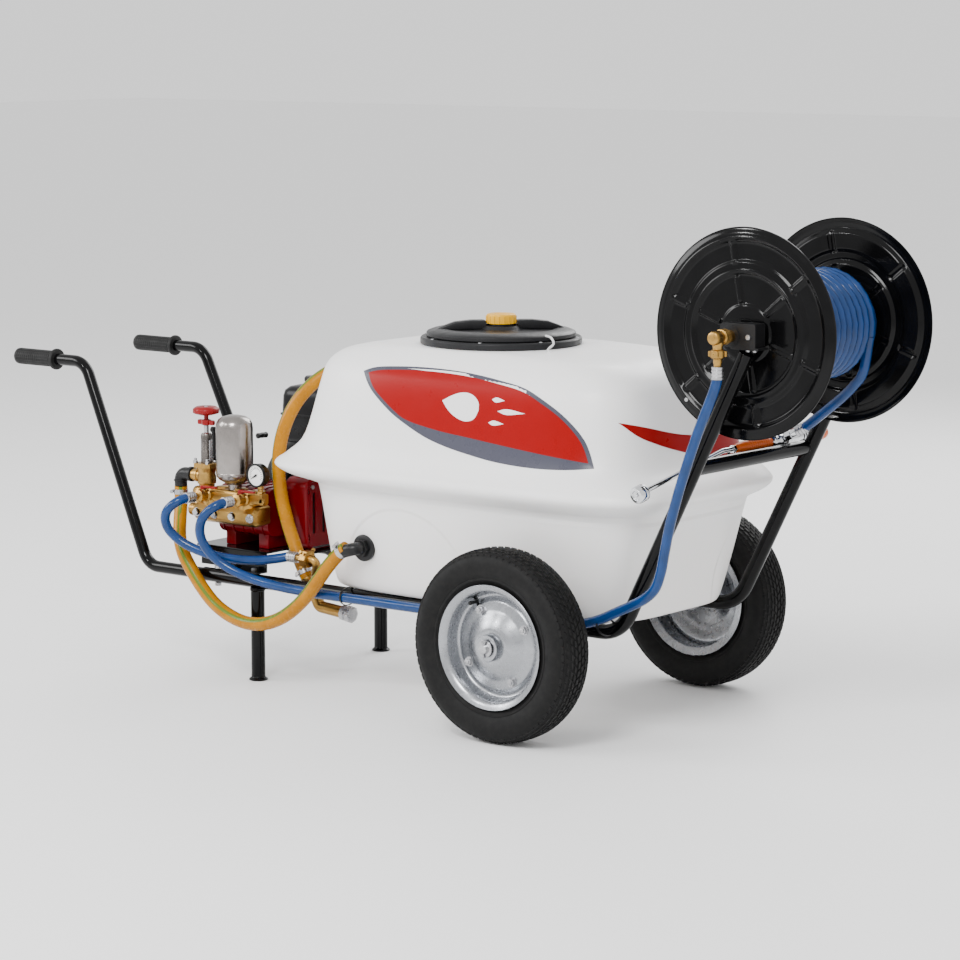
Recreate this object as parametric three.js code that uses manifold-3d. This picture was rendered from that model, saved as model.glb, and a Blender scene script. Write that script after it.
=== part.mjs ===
// Wheeled sprayer cart: a two-wheeled steel frame that carries a spray tank, an engine-driven pump,
// a hose reel on two uprights, and a spray gun on a crossbar.
// Millimetres. X runs forward from the handles to the reel, Y runs to the operator's left, Z is up.
// The origin is on the ground at the middle of the whole length. The code below measures X from the
// axle, and the finished group is moved forward by AXLE_X.

import * as THREE from 'three';
import { mergeVertices } from 'three/addons/utils/BufferGeometryUtils.js';
import Module from 'manifold-3d';

const wasm = await Module();
wasm.setup();

// ---------------------------------------------------------------- driving dimensions

const GAP = 0.3;              // clearance between faces that touch
const COPE = 1.2;             // clearance round a tube that another tube is coped to

const AXLE_X = 398.75;        // the axle stands this far in front of the middle of the length
const WHEEL_R = 180;          // 3.50-8 tyre
const TYRE_HALF = 43.5;
const TRACK_HALF = 325;
const RIM_R = 116;            // flange of the 8 inch pressed rim
const AXLE_R = 9;
const HUB_HALF = 44;

const TUBE_R = 14;            // 28 mm frame tube
const HANDLE_R = 12;          // 24 mm handle tube, which slides into the frame tube
const HANDLE_BORE_R = 12.55;
const RAIL_Z = 200;
const RAIL_Y = 190;
const RAIL_REAR_X = -862;
const BEND_X = 172;           // where the rail and the upright would meet
const UPRIGHT_TOP = [439, 732];
const LEG_X = -719;
const CROSSBAR_Z = 517;

const HANDLE_LOW_X = -1020;
const HANDLE_TOP = { x: -1205, y: 178, z: 605 };
const GRIP_END_X = -1402;
const GRIP_LENGTH = 118;

const TANK_WALL = 5;
const LID_X = -253;
const NECK_R = 128;
const NECK_BORE_R = 118;
const TANK_TOP = 690;
const RING_R = 156;

const REEL = { x: 416, z: 762 };
const DISC_R = 188.5;
const DISC_Y = 160;           // plane of each disc
const DRUM_R = 45;
const WINDING_R = 102;
const SHAFT_R = 12;
const BLOCK_Y = [176.5, 208]; // bearing block, inner and outer face
const CRANK_Y = 222;          // end of the reel shaft on the operator's left
const CRANK_KNOB = [-120, 60];

const PLATE_TOP = 256;
const HEAD_Y = -172;          // axis of the pump head
const PUMP_SHAFT = { y: -45, z: 330 };
const ENGINE_SHAFT = { y: 105, z: 360 };
const BELT_X = -684;
const PUMP_GROOVE_R = 58;
const ENGINE_GROOVE_R = 21;
const BELT_DEPTH = 7.7;
const BORE_GAP = 0.8;         // running clearance of the faceted shafts in their faceted bores

const BLUE_R = 9.5;           // 19 mm high-pressure hose
const YELLOW_R = 13.5;        // 27 mm low-pressure hose

// ---------------------------------------------------------------- materials

const finish = (color, roughness, metalness = 0) =>
  new THREE.MeshStandardMaterial({ color, roughness, metalness });

const BLACK_PAINT = finish(0x101113, 0.3, 0.2);
const BLACK_PLASTIC = finish(0x1c1d1f, 0.55);
const BLACK_RUBBER = finish(0x161616, 0.8);
const ZINC = finish(0xb9bcc0, 0.35, 0.9);
const BRASS = finish(0xb98c3e, 0.35, 0.9);
const STAINLESS = finish(0xb4aea6, 0.28, 0.95);
const CHROME = finish(0xd8dade, 0.12, 1);
const RED_PAINT = finish(0xb01020, 0.35);
const RED_PLASTIC = finish(0xd81e22, 0.4);
const ORANGE_PLASTIC = finish(0xe8781e, 0.5);
const YELLOW_PLASTIC = finish(0xf0c800, 0.45);
const WHITE_POLYETHYLENE = finish(0xeeeae6, 0.5);
const BLUE_HOSE = finish(0x0a4fc0, 0.3);
const YELLOW_HOSE = finish(0xf2a90a, 0.4);
const DIAL_WHITE = finish(0xe8e8e4, 0.4);

// ---------------------------------------------------------------- geometry helpers

function signedVolume(geometry) {
  const p = geometry.attributes.position;
  const index = geometry.index;
  const [a, b, c] = [new THREE.Vector3(), new THREE.Vector3(), new THREE.Vector3()];
  let sum = 0;
  for (let i = 0; i < index.count; i += 3) {
    a.fromBufferAttribute(p, index.getX(i));
    b.fromBufferAttribute(p, index.getX(i + 1));
    c.fromBufferAttribute(p, index.getX(i + 2));
    sum += a.dot(b.cross(c));
  }
  return sum / 6;
}

// Welds a geometry's shared vertices and turns its faces outwards.
function welded(geometry) {
  const bare = geometry.clone();
  bare.deleteAttribute('normal');
  bare.deleteAttribute('uv');
  const joined = mergeVertices(bare, 1e-3);
  if (signedVolume(joined) < 0) {
    const index = joined.index.array;
    for (let i = 0; i < index.length; i += 3) {
      [index[i], index[i + 1]] = [index[i + 1], index[i]];
    }
  }
  return joined;
}

function solidOf(geometry) {
  const g = welded(geometry);
  return new wasm.Manifold(new wasm.Mesh({
    numProp: 3,
    vertProperties: new Float32Array(g.attributes.position.array),
    triVerts: new Uint32Array(g.index.array),
  }));
}

function geometryOf(solid) {
  const mesh = solid.getMesh();
  const g = new THREE.BufferGeometry();
  g.setAttribute('position', new THREE.BufferAttribute(new Float32Array(mesh.vertProperties), 3));
  g.setIndex(new THREE.BufferAttribute(new Uint32Array(mesh.triVerts), 1));
  return g;
}

const join = (first, ...rest) =>
  geometryOf(rest.reduce((sum, g) => sum.add(solidOf(g)), solidOf(first)));

const cut = (first, ...rest) =>
  geometryOf(rest.reduce((sum, g) => sum.subtract(solidOf(g)), solidOf(first)));

// A solid of revolution about an axis, from [radius, distance along the axis] pairs.
function lathe(axis, profile, centre = [0, 0, 0], segments = 18) {
  const points = profile.map(([r, t]) => new THREE.Vector2(r, t));
  const g = new THREE.LatheGeometry(points, segments);
  if (axis === 'x') g.rotateZ(-Math.PI / 2);
  if (axis === 'z') g.rotateX(Math.PI / 2);
  return g.translate(...centre);
}

// A round bar along an axis, from a to b; centre gives the other two coordinates in XYZ order.
function rod(axis, r, a, b, centre = [0, 0], segments = 12) {
  const at = { x: [0, ...centre], y: [centre[0], 0, centre[1]], z: [...centre, 0] }[axis];
  return lathe(axis, [[0, a], [r, a], [r, b], [0, b]], at, segments);
}

// A washer or bush: a lathe profile that closes on itself.
function ring(axis, inner, outer, a, b, centre = [0, 0], segments = 18) {
  const at = { x: [0, ...centre], y: [centre[0], 0, centre[1]], z: [...centre, 0] }[axis];
  return lathe(axis, [[inner, a], [outer, a], [outer, b], [inner, b], [inner, a]], at, segments);
}

const block = (x0, x1, y0, y1, z0, z1) =>
  new THREE.BoxGeometry(x1 - x0, y1 - y0, z1 - z0)
    .translate((x0 + x1) / 2, (y0 + y1) / 2, (z0 + z1) / 2);

// A closed outline in the YZ plane, drawn as [y, z] pairs and extruded from x0 to x1.
function extrudeX(outline, x0, x1, holes = []) {
  const shape = new THREE.Shape(outline.map(([y, z]) => new THREE.Vector2(y, z)));
  holes.forEach((h) => shape.holes.push(new THREE.Path(h.map(([y, z]) => new THREE.Vector2(y, z)))));
  const g = new THREE.ExtrudeGeometry(shape, { depth: x1 - x0, bevelEnabled: false });
  const yzToWorld = new THREE.Matrix4().makeBasis(
    new THREE.Vector3(0, 1, 0), new THREE.Vector3(0, 0, 1), new THREE.Vector3(1, 0, 0));
  return g.applyMatrix4(yzToWorld).translate(x0, 0, 0);
}

// The corners of a rectangle with rounded corners, as [u, v] pairs.
function roundedRectangle(u0, u1, v0, v1, r, steps = 3) {
  const corners = [[u1 - r, v1 - r, 0], [u0 + r, v1 - r, 1], [u0 + r, v0 + r, 2], [u1 - r, v0 + r, 3]];
  return corners.flatMap(([u, v, quarter]) =>
    Array.from({ length: steps + 1 }, (_, i) => {
      const angle = (quarter + i / steps) * Math.PI / 2;
      return [u + r * Math.cos(angle), v + r * Math.sin(angle)];
    }));
}

// A path sampled at its own vertices, so that straight stretches take one step each.
class VertexPath extends THREE.Curve {
  constructor(points) {
    super();
    this.points = points;
  }

  getPoint(t, target = new THREE.Vector3()) {
    const last = this.points.length - 1;
    const i = Math.min(Math.floor(t * last + 1e-6), last - 1);
    return target.lerpVectors(this.points[i], this.points[i + 1], t * last - i);
  }

  getPointAt(u, target) {
    return this.getPoint(u, target);
  }

  getTangentAt(u) {
    const last = this.points.length - 1;
    const i = Math.round(u * last);
    const before = this.points[Math.max(i - 1, 0)];
    const after = this.points[Math.min(i + 1, last)];
    const into = this.points[i].clone().sub(before).normalize();
    const out = after.clone().sub(this.points[i]).normalize();
    return into.add(out).normalize();
  }
}

const circle = (r, sides) =>
  new THREE.Shape(Array.from({ length: sides }, (_, i) => {
    const a = 2 * Math.PI * i / sides;
    return new THREE.Vector2(r * Math.cos(a), r * Math.sin(a));
  }));

const sweep = (path, r, sides, steps) =>
  new THREE.ExtrudeGeometry(circle(r, sides), { steps, extrudePath: path, bevelEnabled: false });

const vec = ([x, y, z]) => new THREE.Vector3(x, y, z);

// Replaces each inner corner of a polyline by an arc of the given radius.
function filleted(corners, radius, steps = 3) {
  const pts = corners.map(vec);
  const path = [pts[0]];
  for (let i = 1; i < pts.length - 1; i += 1) {
    const back = pts[i - 1].clone().sub(pts[i]).normalize();
    const ahead = pts[i + 1].clone().sub(pts[i]).normalize();
    const half = back.angleTo(ahead) / 2;
    const centre = back.clone().add(ahead).normalize().multiplyScalar(radius / Math.sin(half)).add(pts[i]);
    const start = pts[i].clone().addScaledVector(back, radius / Math.tan(half)).sub(centre);
    const turn = Math.PI - 2 * half;
    const axis = back.clone().negate().cross(ahead).normalize();
    for (let k = 0; k <= steps; k += 1) {
      path.push(start.clone().applyAxisAngle(axis, turn * k / steps).add(centre));
    }
  }
  path.push(pts[pts.length - 1]);
  return path;
}

function bentTube(corners, radius, bend, sides = 10) {
  const path = filleted(corners, bend);
  return sweep(new VertexPath(path), radius, sides, path.length - 1);
}

// A hose follows a smooth curve through its route points.
const hose = (route, radius, steps) =>
  sweep(new THREE.CatmullRomCurve3(route.map(vec), false, 'centripetal'), radius, 8, steps);

// A bar between two points.
function strut(from, to, radius, sides = 12) {
  return sweep(new VertexPath([vec(from), vec(to)]), radius, sides, 1);
}

const cart = new THREE.Group();

function piece(parent, name, geometry, material) {
  const mesh = new THREE.Mesh(welded(geometry), material);
  mesh.name = name;
  parent.add(mesh);
  return mesh;
}

const SIDES = [['right', -1], ['left', 1]];

// ---------------------------------------------------------------- frame

const uprightSlope = (UPRIGHT_TOP[1] - RAIL_Z) / (UPRIGHT_TOP[0] - BEND_X);
const uprightX = (z) => BEND_X + (z - RAIL_Z) / uprightSlope;

function addFrameRail(name, side) {
  const y = side * RAIL_Y;
  const corners = [[RAIL_REAR_X, y, RAIL_Z], [BEND_X, y, RAIL_Z], [UPRIGHT_TOP[0], y, UPRIGHT_TOP[1]]];
  const handleBore = rod('x', HANDLE_BORE_R, RAIL_REAR_X - 1, RAIL_REAR_X + 82, [y, RAIL_Z], 16);
  const boltHole = rod('z', 4 + COPE, RAIL_Z - 20, RAIL_Z + 20, [RAIL_REAR_X + 36, y], 10);
  const axleSaddle = rod('y', AXLE_R + COPE, y - 30, y + 30, [0, WHEEL_R]);
  piece(cart, name, cut(bentTube(corners, TUBE_R, 70, 12), handleBore, boltHole, axleSaddle), BLACK_PAINT);
}

function addLeg(name, side) {
  const y = side * RAIL_Y;
  const post = lathe('z', [[0, 0], [19, 0], [19, 4], [TUBE_R, 6], [TUBE_R, RAIL_Z - 6], [0, RAIL_Z - 6]],
    [LEG_X, y, 0], 16);
  const saddle = rod('x', TUBE_R + COPE, LEG_X - 30, LEG_X + 30, [y, RAIL_Z], 16);
  piece(cart, name, cut(post, saddle), BLACK_PAINT);
}

function addHandle(name, gripName, side) {
  const y = side * RAIL_Y;
  const topY = side * HANDLE_TOP.y;
  const corners = [
    [GRIP_END_X + 4, topY, HANDLE_TOP.z],
    [HANDLE_TOP.x, topY, HANDLE_TOP.z],
    [HANDLE_LOW_X, y, RAIL_Z],
    [RAIL_REAR_X + 80, y, RAIL_Z],
  ];
  const boltX = RAIL_REAR_X + 36;
  const bolt = rod('z', 4, RAIL_Z - TUBE_R - 7, RAIL_Z + TUBE_R + 7, [boltX, y], 10);
  const heads = [-1, 1].map((end) => {
    const inner = RAIL_Z + end * (TUBE_R + GAP + 0.4);
    return rod('z', 7, Math.min(inner, inner + end * 6), Math.max(inner, inner + end * 6), [boltX, y], 6);
  });
  piece(cart, name, join(bentTube(corners, HANDLE_R, 45), bolt, ...heads), BLACK_PAINT);

  const inner = HANDLE_R + 0.8;
  const end = GRIP_END_X;
  const gripProfile = [
    [0, end], [15, end], [17, end + 3], [17, end + GRIP_LENGTH - 8], [22, end + GRIP_LENGTH - 7],
    [22, end + GRIP_LENGTH], [inner, end + GRIP_LENGTH], [inner, end + 3.7], [0, end + 3.7],
  ];
  piece(cart, gripName, lathe('x', gripProfile, [0, topY, HANDLE_TOP.z], 12), BLACK_RUBBER);
}

function addCrossbar() {
  const x = uprightX(CROSSBAR_Z);
  const half = RAIL_Y - 6;
  const bar = rod('y', TUBE_R, -half, half, [x, CROSSBAR_Z]);
  const copes = SIDES.map(([, side]) =>
    strut([BEND_X, side * RAIL_Y, RAIL_Z], [UPRIGHT_TOP[0], side * RAIL_Y, UPRIGHT_TOP[1]],
      TUBE_R + COPE, 16));
  const hooks = [-10, 75].map((y) => {
    const shelf = block(x - 46, x, y - 3, y + 3, CROSSBAR_Z - 6, CROSSBAR_Z + 1);
    const tip = block(x - 46, x - 42, y - 3, y + 3, CROSSBAR_Z, CROSSBAR_Z + 18);
    return [shelf, tip];
  }).flat();
  piece(cart, 'crossbar', join(cut(bar, ...copes), ...hooks), BLACK_PAINT);
}

function addEnginePlate() {
  const [rear, front, half, sheet] = [-900, -640, 172, 4];
  const top = block(rear, front, -half, half, PLATE_TOP - sheet, PLATE_TOP);
  const notch = block(-712, front + 1, -half - 40, -112, 200, PLATE_TOP + 1);
  const skirts = SIDES.map(([, side]) => {
    const outer = side * half;
    const inner = side * (half - sheet);
    const wall = block(rear + 12, front, Math.min(outer, inner), Math.max(outer, inner), 216, PLATE_TOP);
    const reach = side * (RAIL_Y + 8);
    const base = RAIL_Z + TUBE_R + GAP;
    const foot = block(rear + 90, front, Math.min(inner, reach), Math.max(inner, reach), base, base + sheet);
    return [wall, foot];
  }).flat();
  piece(cart, 'engine_plate', cut(join(top, ...skirts), notch), BLACK_PAINT);
}

function addAxle() {
  const end = TRACK_HALF + HUB_HALF + 12;
  const collar = TRACK_HALF - HUB_HALF - 1;
  const half = [
    [AXLE_R, collar - 8], [15, collar - 8], [15, collar], [AXLE_R, collar],
    [AXLE_R, end - 9.5], [15, end - 9.5], [15, end - 7], [AXLE_R, end - 7], [AXLE_R, end - 1], [8, end],
  ];
  const mirrored = half.map(([r, t]) => [r, -t]).reverse();
  const bar = lathe('y', [[0, -end], ...mirrored, ...half, [0, end]], [0, 0, WHEEL_R], 12);
  const pins = SIDES.map(([, side]) => rod('z', 2, WHEEL_R - 17, WHEEL_R + 13, [0, side * (end - 4)], 8));
  piece(cart, 'axle', join(bar, ...pins), ZINC);
}

// ---------------------------------------------------------------- wheels

// The outside of a wheel is at positive Y in its own frame.
function addWheel(name, side) {
  const wheel = new THREE.Group();
  wheel.position.set(0, side * TRACK_HALF, WHEEL_R);
  if (side < 0) wheel.rotation.z = Math.PI;
  cart.add(wheel);

  const bead = RIM_R - 12;
  const tyreProfile = [
    [bead + GAP, -28], [RIM_R + 8, -36], [150, -TYRE_HALF], [169, -39], [WHEEL_R, -16],
    [WHEEL_R, 16], [169, 39], [150, TYRE_HALF], [RIM_R + 8, 36], [bead + GAP, 28],
    [bead + GAP, -28],
  ];
  piece(wheel, `tyre_${name}`, lathe('y', tyreProfile, [0, 0, 0], 26), BLACK_RUBBER);

  const wellSide = 29;
  const sheet = 3;
  const dished = [
    [22, 6], [34, 6], [44, 16], [82, 16], [92, 2], [bead - 4, 2], [bead - 4, wellSide],
    [RIM_R, wellSide + 5], [RIM_R, wellSide + 5 + sheet], [bead - 4 - sheet, wellSide + sheet],
    [bead - 8, 5], [94, 5], [84, 16 + sheet], [43, 16 + sheet], [33, 9], [22, 9], [22, 6],
  ];
  const inward = [
    [bead - 4, 4], [bead - 4, -wellSide], [RIM_R, -wellSide - 5], [RIM_R, -wellSide - 5 - sheet],
    [bead - 4 - sheet, -wellSide - sheet], [bead - 8, 4], [bead - 4, 4],
  ];
  const hub = ring('y', AXLE_R + GAP, 25, -HUB_HALF, HUB_HALF, [0, 0], 16);
  const bolts = [0, 1, 2, 3].map((i) => {
    const a = (i + 0.5) * Math.PI / 2;
    return rod('y', 7, 14, 25, [62 * Math.cos(a), 62 * Math.sin(a)], 6);
  });
  const rim = join(lathe('y', dished), lathe('y', inward), hub, ...bolts);
  piece(wheel, `rim_${name}`, rim, ZINC);
}

// ---------------------------------------------------------------- tank

// Each level of the tank: height, rear end, front end and half width of its outline.
const TANK_LEVELS = [
  [214.3, -545, 160, 190], [222, -560, 174, 204], [300, -574, 196, 217], [405, -588, 220, 233],
  [418, -600, 226, 240], [432, -650, 250, 266], [445, -676, 262, 276], [456, -674, 260, 275],
  [472, -650, 244, 266], [510, -612, 197, 250], [615, -583, 176, 228], [650, -573, 160, 214],
  [672, -548, 130, 195], [684, -505, 80, 180], [TANK_TOP, -450, -40, 168],
];
const TANK_CORNER = 5;        // exponent of the superellipse outline

function tankRing([z, rear, front, half], inset, points) {
  const centre = (rear + front) / 2;
  const length = (front - rear) / 2 - inset;
  const width = half - inset;
  return Array.from({ length: points }, (_, i) => {
    const a = 2 * Math.PI * i / points;
    const [c, s] = [Math.cos(a), Math.sin(a)];
    const reach = (Math.abs(c) ** TANK_CORNER + Math.abs(s) ** TANK_CORNER) ** (-1 / TANK_CORNER);
    return [centre + length * c * reach, width * s * reach, z];
  });
}

// Levels that round the outside off, which the inside of the wall goes without.
const OUTER_ONLY_LEVELS = [222, 456, 650, 684];

// A closed skin through a stack of rings with equal numbers of points.
function loft(rings) {
  const n = rings[0].length;
  const index = [];
  for (let k = 0; k + 1 < rings.length; k += 1) {
    for (let i = 0; i < n; i += 1) {
      const [a, b] = [k * n + i, k * n + (i + 1) % n];
      index.push(a, b, b + n, a, b + n, a + n);
    }
  }
  const last = (rings.length - 1) * n;
  for (let i = 1; i + 1 < n; i += 1) {
    index.push(0, i + 1, i, last, last + i, last + i + 1);
  }
  const g = new THREE.BufferGeometry();
  g.setAttribute('position', new THREE.Float32BufferAttribute(rings.flat(2), 3));
  g.setIndex(index);
  return g;
}

const FILL_INLET = { x: -578, y: -30, z: 622 };
const FILL_DIRECTION = new THREE.Vector3(-0.8, -0.6, 0);

function addTank() {
  const outline = 28;
  const outer = loft(TANK_LEVELS.map((level) => tankRing(level, 0, outline)));
  const inner = loft(TANK_LEVELS.filter(([z]) => !OUTER_ONLY_LEVELS.includes(z)).map(([z, ...ends]) => {
    const lifted = z < 300 ? z + TANK_WALL : z - (z > 600 ? TANK_WALL : 0);
    return tankRing([lifted, ...ends], TANK_WALL, outline);
  }));
  const neck = rod('z', NECK_R, TANK_TOP - 3, TANK_TOP + 12, [LID_X, 0], 24);
  const bore = rod('z', NECK_BORE_R, TANK_TOP - 20, TANK_TOP + 20, [LID_X, 0], 24);
  const { x, y, z } = FILL_INLET;
  const tip = FILL_DIRECTION.clone().multiplyScalar(24).add(new THREE.Vector3(x, y, z));
  const inlet = join(strut([x + 6, y + 4.5, z], tip.toArray(), 10), ring('x', 3, 18, x - 7, x + 6, [y, z], 12));
  piece(cart, 'tank', cut(join(outer, neck, inlet), inner, bore), WHITE_POLYETHYLENE);
}

function addLid() {
  const base = TANK_TOP + GAP + 0.2;
  const ringBody = ring('z', NECK_R + 2, RING_R, base, base + 14, [LID_X, 0], 22);
  const screws = Array.from({ length: 8 }, (_, i) => {
    const a = (i + 0.5) * Math.PI / 4;
    const at = [LID_X + 151 * Math.cos(a), 151 * Math.sin(a)];
    return rod('z', 4, base + 12, base + 16, at, 5);
  });
  piece(cart, 'lid_ring', join(ringBody, ...screws), BLACK_PLASTIC);

  const rim = TANK_TOP + 12 + GAP;
  const basket = [
    [0, rim - 102], [111, rim - 102], [112, rim], [NECK_R - 2, rim], [NECK_R - 2, rim + 1.5],
    [110, rim + 1.5], [109, rim - 100], [0, rim - 100],
  ];
  piece(cart, 'strainer_basket', lathe('z', basket, [LID_X, 0, 0], 20), BLACK_PLASTIC);

  const seat = base + 14 + GAP;
  const coverProfile = [
    [0, seat + 3], [120, seat + 3], [124, seat], [144, seat], [144, seat + 9], [136, seat + 12],
    [112, seat + 14], [100, seat + 10], [40, seat + 12], [36, seat + 20], [0, seat + 20],
  ];
  const cover = lathe('z', coverProfile, [LID_X, 0, 0], 22);
  const bar = bentTube([[-122, 0, seat + 8], [-84, 0, seat + 27], [84, 0, seat + 27], [122, 0, seat + 8]], 8, 26, 8)
    .rotateZ(Math.PI / 4)
    .translate(LID_X, 0, 0);
  const ventWell = rod('z', 17, seat + 15, seat + 40, [LID_X, 0], 16);
  piece(cart, 'lid_cover', cut(join(cover, bar), ventWell), BLACK_PLASTIC);
  const vent = lathe('z', [[0, seat + 15.3], [16.5, seat + 15.3], [16.5, seat + 36], [21, seat + 36],
    [21, seat + 41], [17, seat + 43], [0, seat + 43]], [LID_X, 0, 0], 16);
  piece(cart, 'vent_cap', vent, YELLOW_PLASTIC);
}

const OUTLET = { x: -400, y: -218, z: 328 };
const OUTLET_TIP = [-437, -246, 304];

function addTankElbow() {
  const nut = rod('y', 19, OUTLET.y - 14, OUTLET.y - 3, [OUTLET.x, OUTLET.z], 6);
  const stem = rod('y', 13, OUTLET.y - 30, OUTLET.y - 3, [OUTLET.x, OUTLET.z], 12);
  const tail = strut([OUTLET.x, OUTLET.y - 28, OUTLET.z], OUTLET_TIP, 12);
  piece(cart, 'tank_elbow', join(nut, stem, tail), BLACK_PLASTIC);
}

// ---------------------------------------------------------------- hose reel

function addReel() {
  const reel = new THREE.Group();
  reel.position.set(REEL.x, 0, REEL.z);
  cart.add(reel);

  SIDES.forEach(([name, side]) => {
    const front = [
      [28, 3], [50, 3], [56, 0], [103, 0], [111, 4], [124, 4], [131, 0.5], [160, 0.5], [169, 6], [180, 6],
      [DISC_R, 2.5],
    ];
    const back = front.map(([r, t]) => [r, t - 1.6]).reverse();
    const profile = [...front, [DISC_R, 0.9], ...back.slice(1), front[0]].map(([r, t]) => [r, side * t]);
    piece(reel, `reel_disc_${name}`, lathe('y', profile, [0, side * DISC_Y, 0], 24), BLACK_PAINT);

    const [inner, outer] = BLOCK_Y;
    const [y0, y1] = side > 0 ? [inner, outer] : [-outer, -inner];
    const housing = block(-22, 52, y0, y1, -21, 23);
    const foot = block(2, 58, y0 - 1, y1 + 1, -23, -19);
    const bore = rod('y', SHAFT_R + 1, y0 - 5, y1 + 5);
    piece(reel, `bearing_block_${name}`, cut(join(housing, foot), bore), BLACK_PLASTIC);
  });

  const inner = DISC_Y - 2.2;
  const drum = [
    [0, -206], [SHAFT_R, -206], [SHAFT_R, -DISC_Y - 3], [27.5, -DISC_Y - 3], [27.5, -inner], [DRUM_R, -inner],
    [DRUM_R, inner], [27.5, inner], [27.5, DISC_Y + 3], [SHAFT_R, DISC_Y + 3], [SHAFT_R, CRANK_Y], [0, CRANK_Y],
  ];
  const [knobX, knobZ] = CRANK_KNOB;
  const crankArm = strut([0, CRANK_Y - 5, 0], [knobX, CRANK_Y - 5, knobZ], 7, 8);
  const knobPin = rod('y', 4, CRANK_Y - 5, CRANK_Y + 46, [knobX, knobZ], 8);
  const crankHub = rod('y', 15, CRANK_Y - 11, CRANK_Y + 2, [0, 0], 12);
  const drumBody = join(lathe('y', drum, [0, 0, 0], 18), crankHub, crankArm, knobPin);
  piece(reel, 'reel_drum', drumBody, BLACK_PAINT);

  const half = 152;
  const core = DRUM_R + GAP + 0.5;
  const winding = [
    [core, -half], [WINDING_R - 6, -half], [WINDING_R, -half + 8], [WINDING_R, half - 8],
    [WINDING_R - 6, half], [core, half], [core, -half],
  ];
  piece(reel, 'hose_winding', lathe('y', winding), BLUE_HOSE);

  const knobY = CRANK_Y + 3;
  const knob = lathe('y', [[5, knobY], [11, knobY], [14, knobY + 20], [14, knobY + 34], [10, knobY + 40],
    [5, knobY + 40], [5, knobY]], [knobX, 0, knobZ], 14);
  piece(reel, 'crank_knob', knob, BLACK_PLASTIC);

  const face = -BLOCK_Y[1] - 0.3;
  const swivelBody = lathe('y', [[0, face - 56], [9, face - 56], [12, face - 52], [12, face - 34], [14, face - 32],
    [14, face - 16], [11, face - 14], [11, face], [0, face]], [0, 0, 0], 12);
  const down = rod('z', 9, -34, 0, [0, face - 38], 12);
  const nut = rod('z', 13, -36, -22, [0, face - 38], 6);
  const nipple = rod('z', 7, -58, -34, [0, face - 38], 12);
  piece(reel, 'swivel', join(swivelBody, down, nut, nipple), BRASS);
}

// ---------------------------------------------------------------- pump

const COCK_X = [-852, -750];
const COCK_Z = 362;
const COCK_TIP_Y = -238;
const BYPASS = { x: -942, y: HEAD_Y, z: 396, tip: 370 };
const CHAMBER_X = -794;
const REGULATOR_X = -870;
const GAUGE = { x: -716, y: -186, z: 413, r: 24 };

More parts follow.
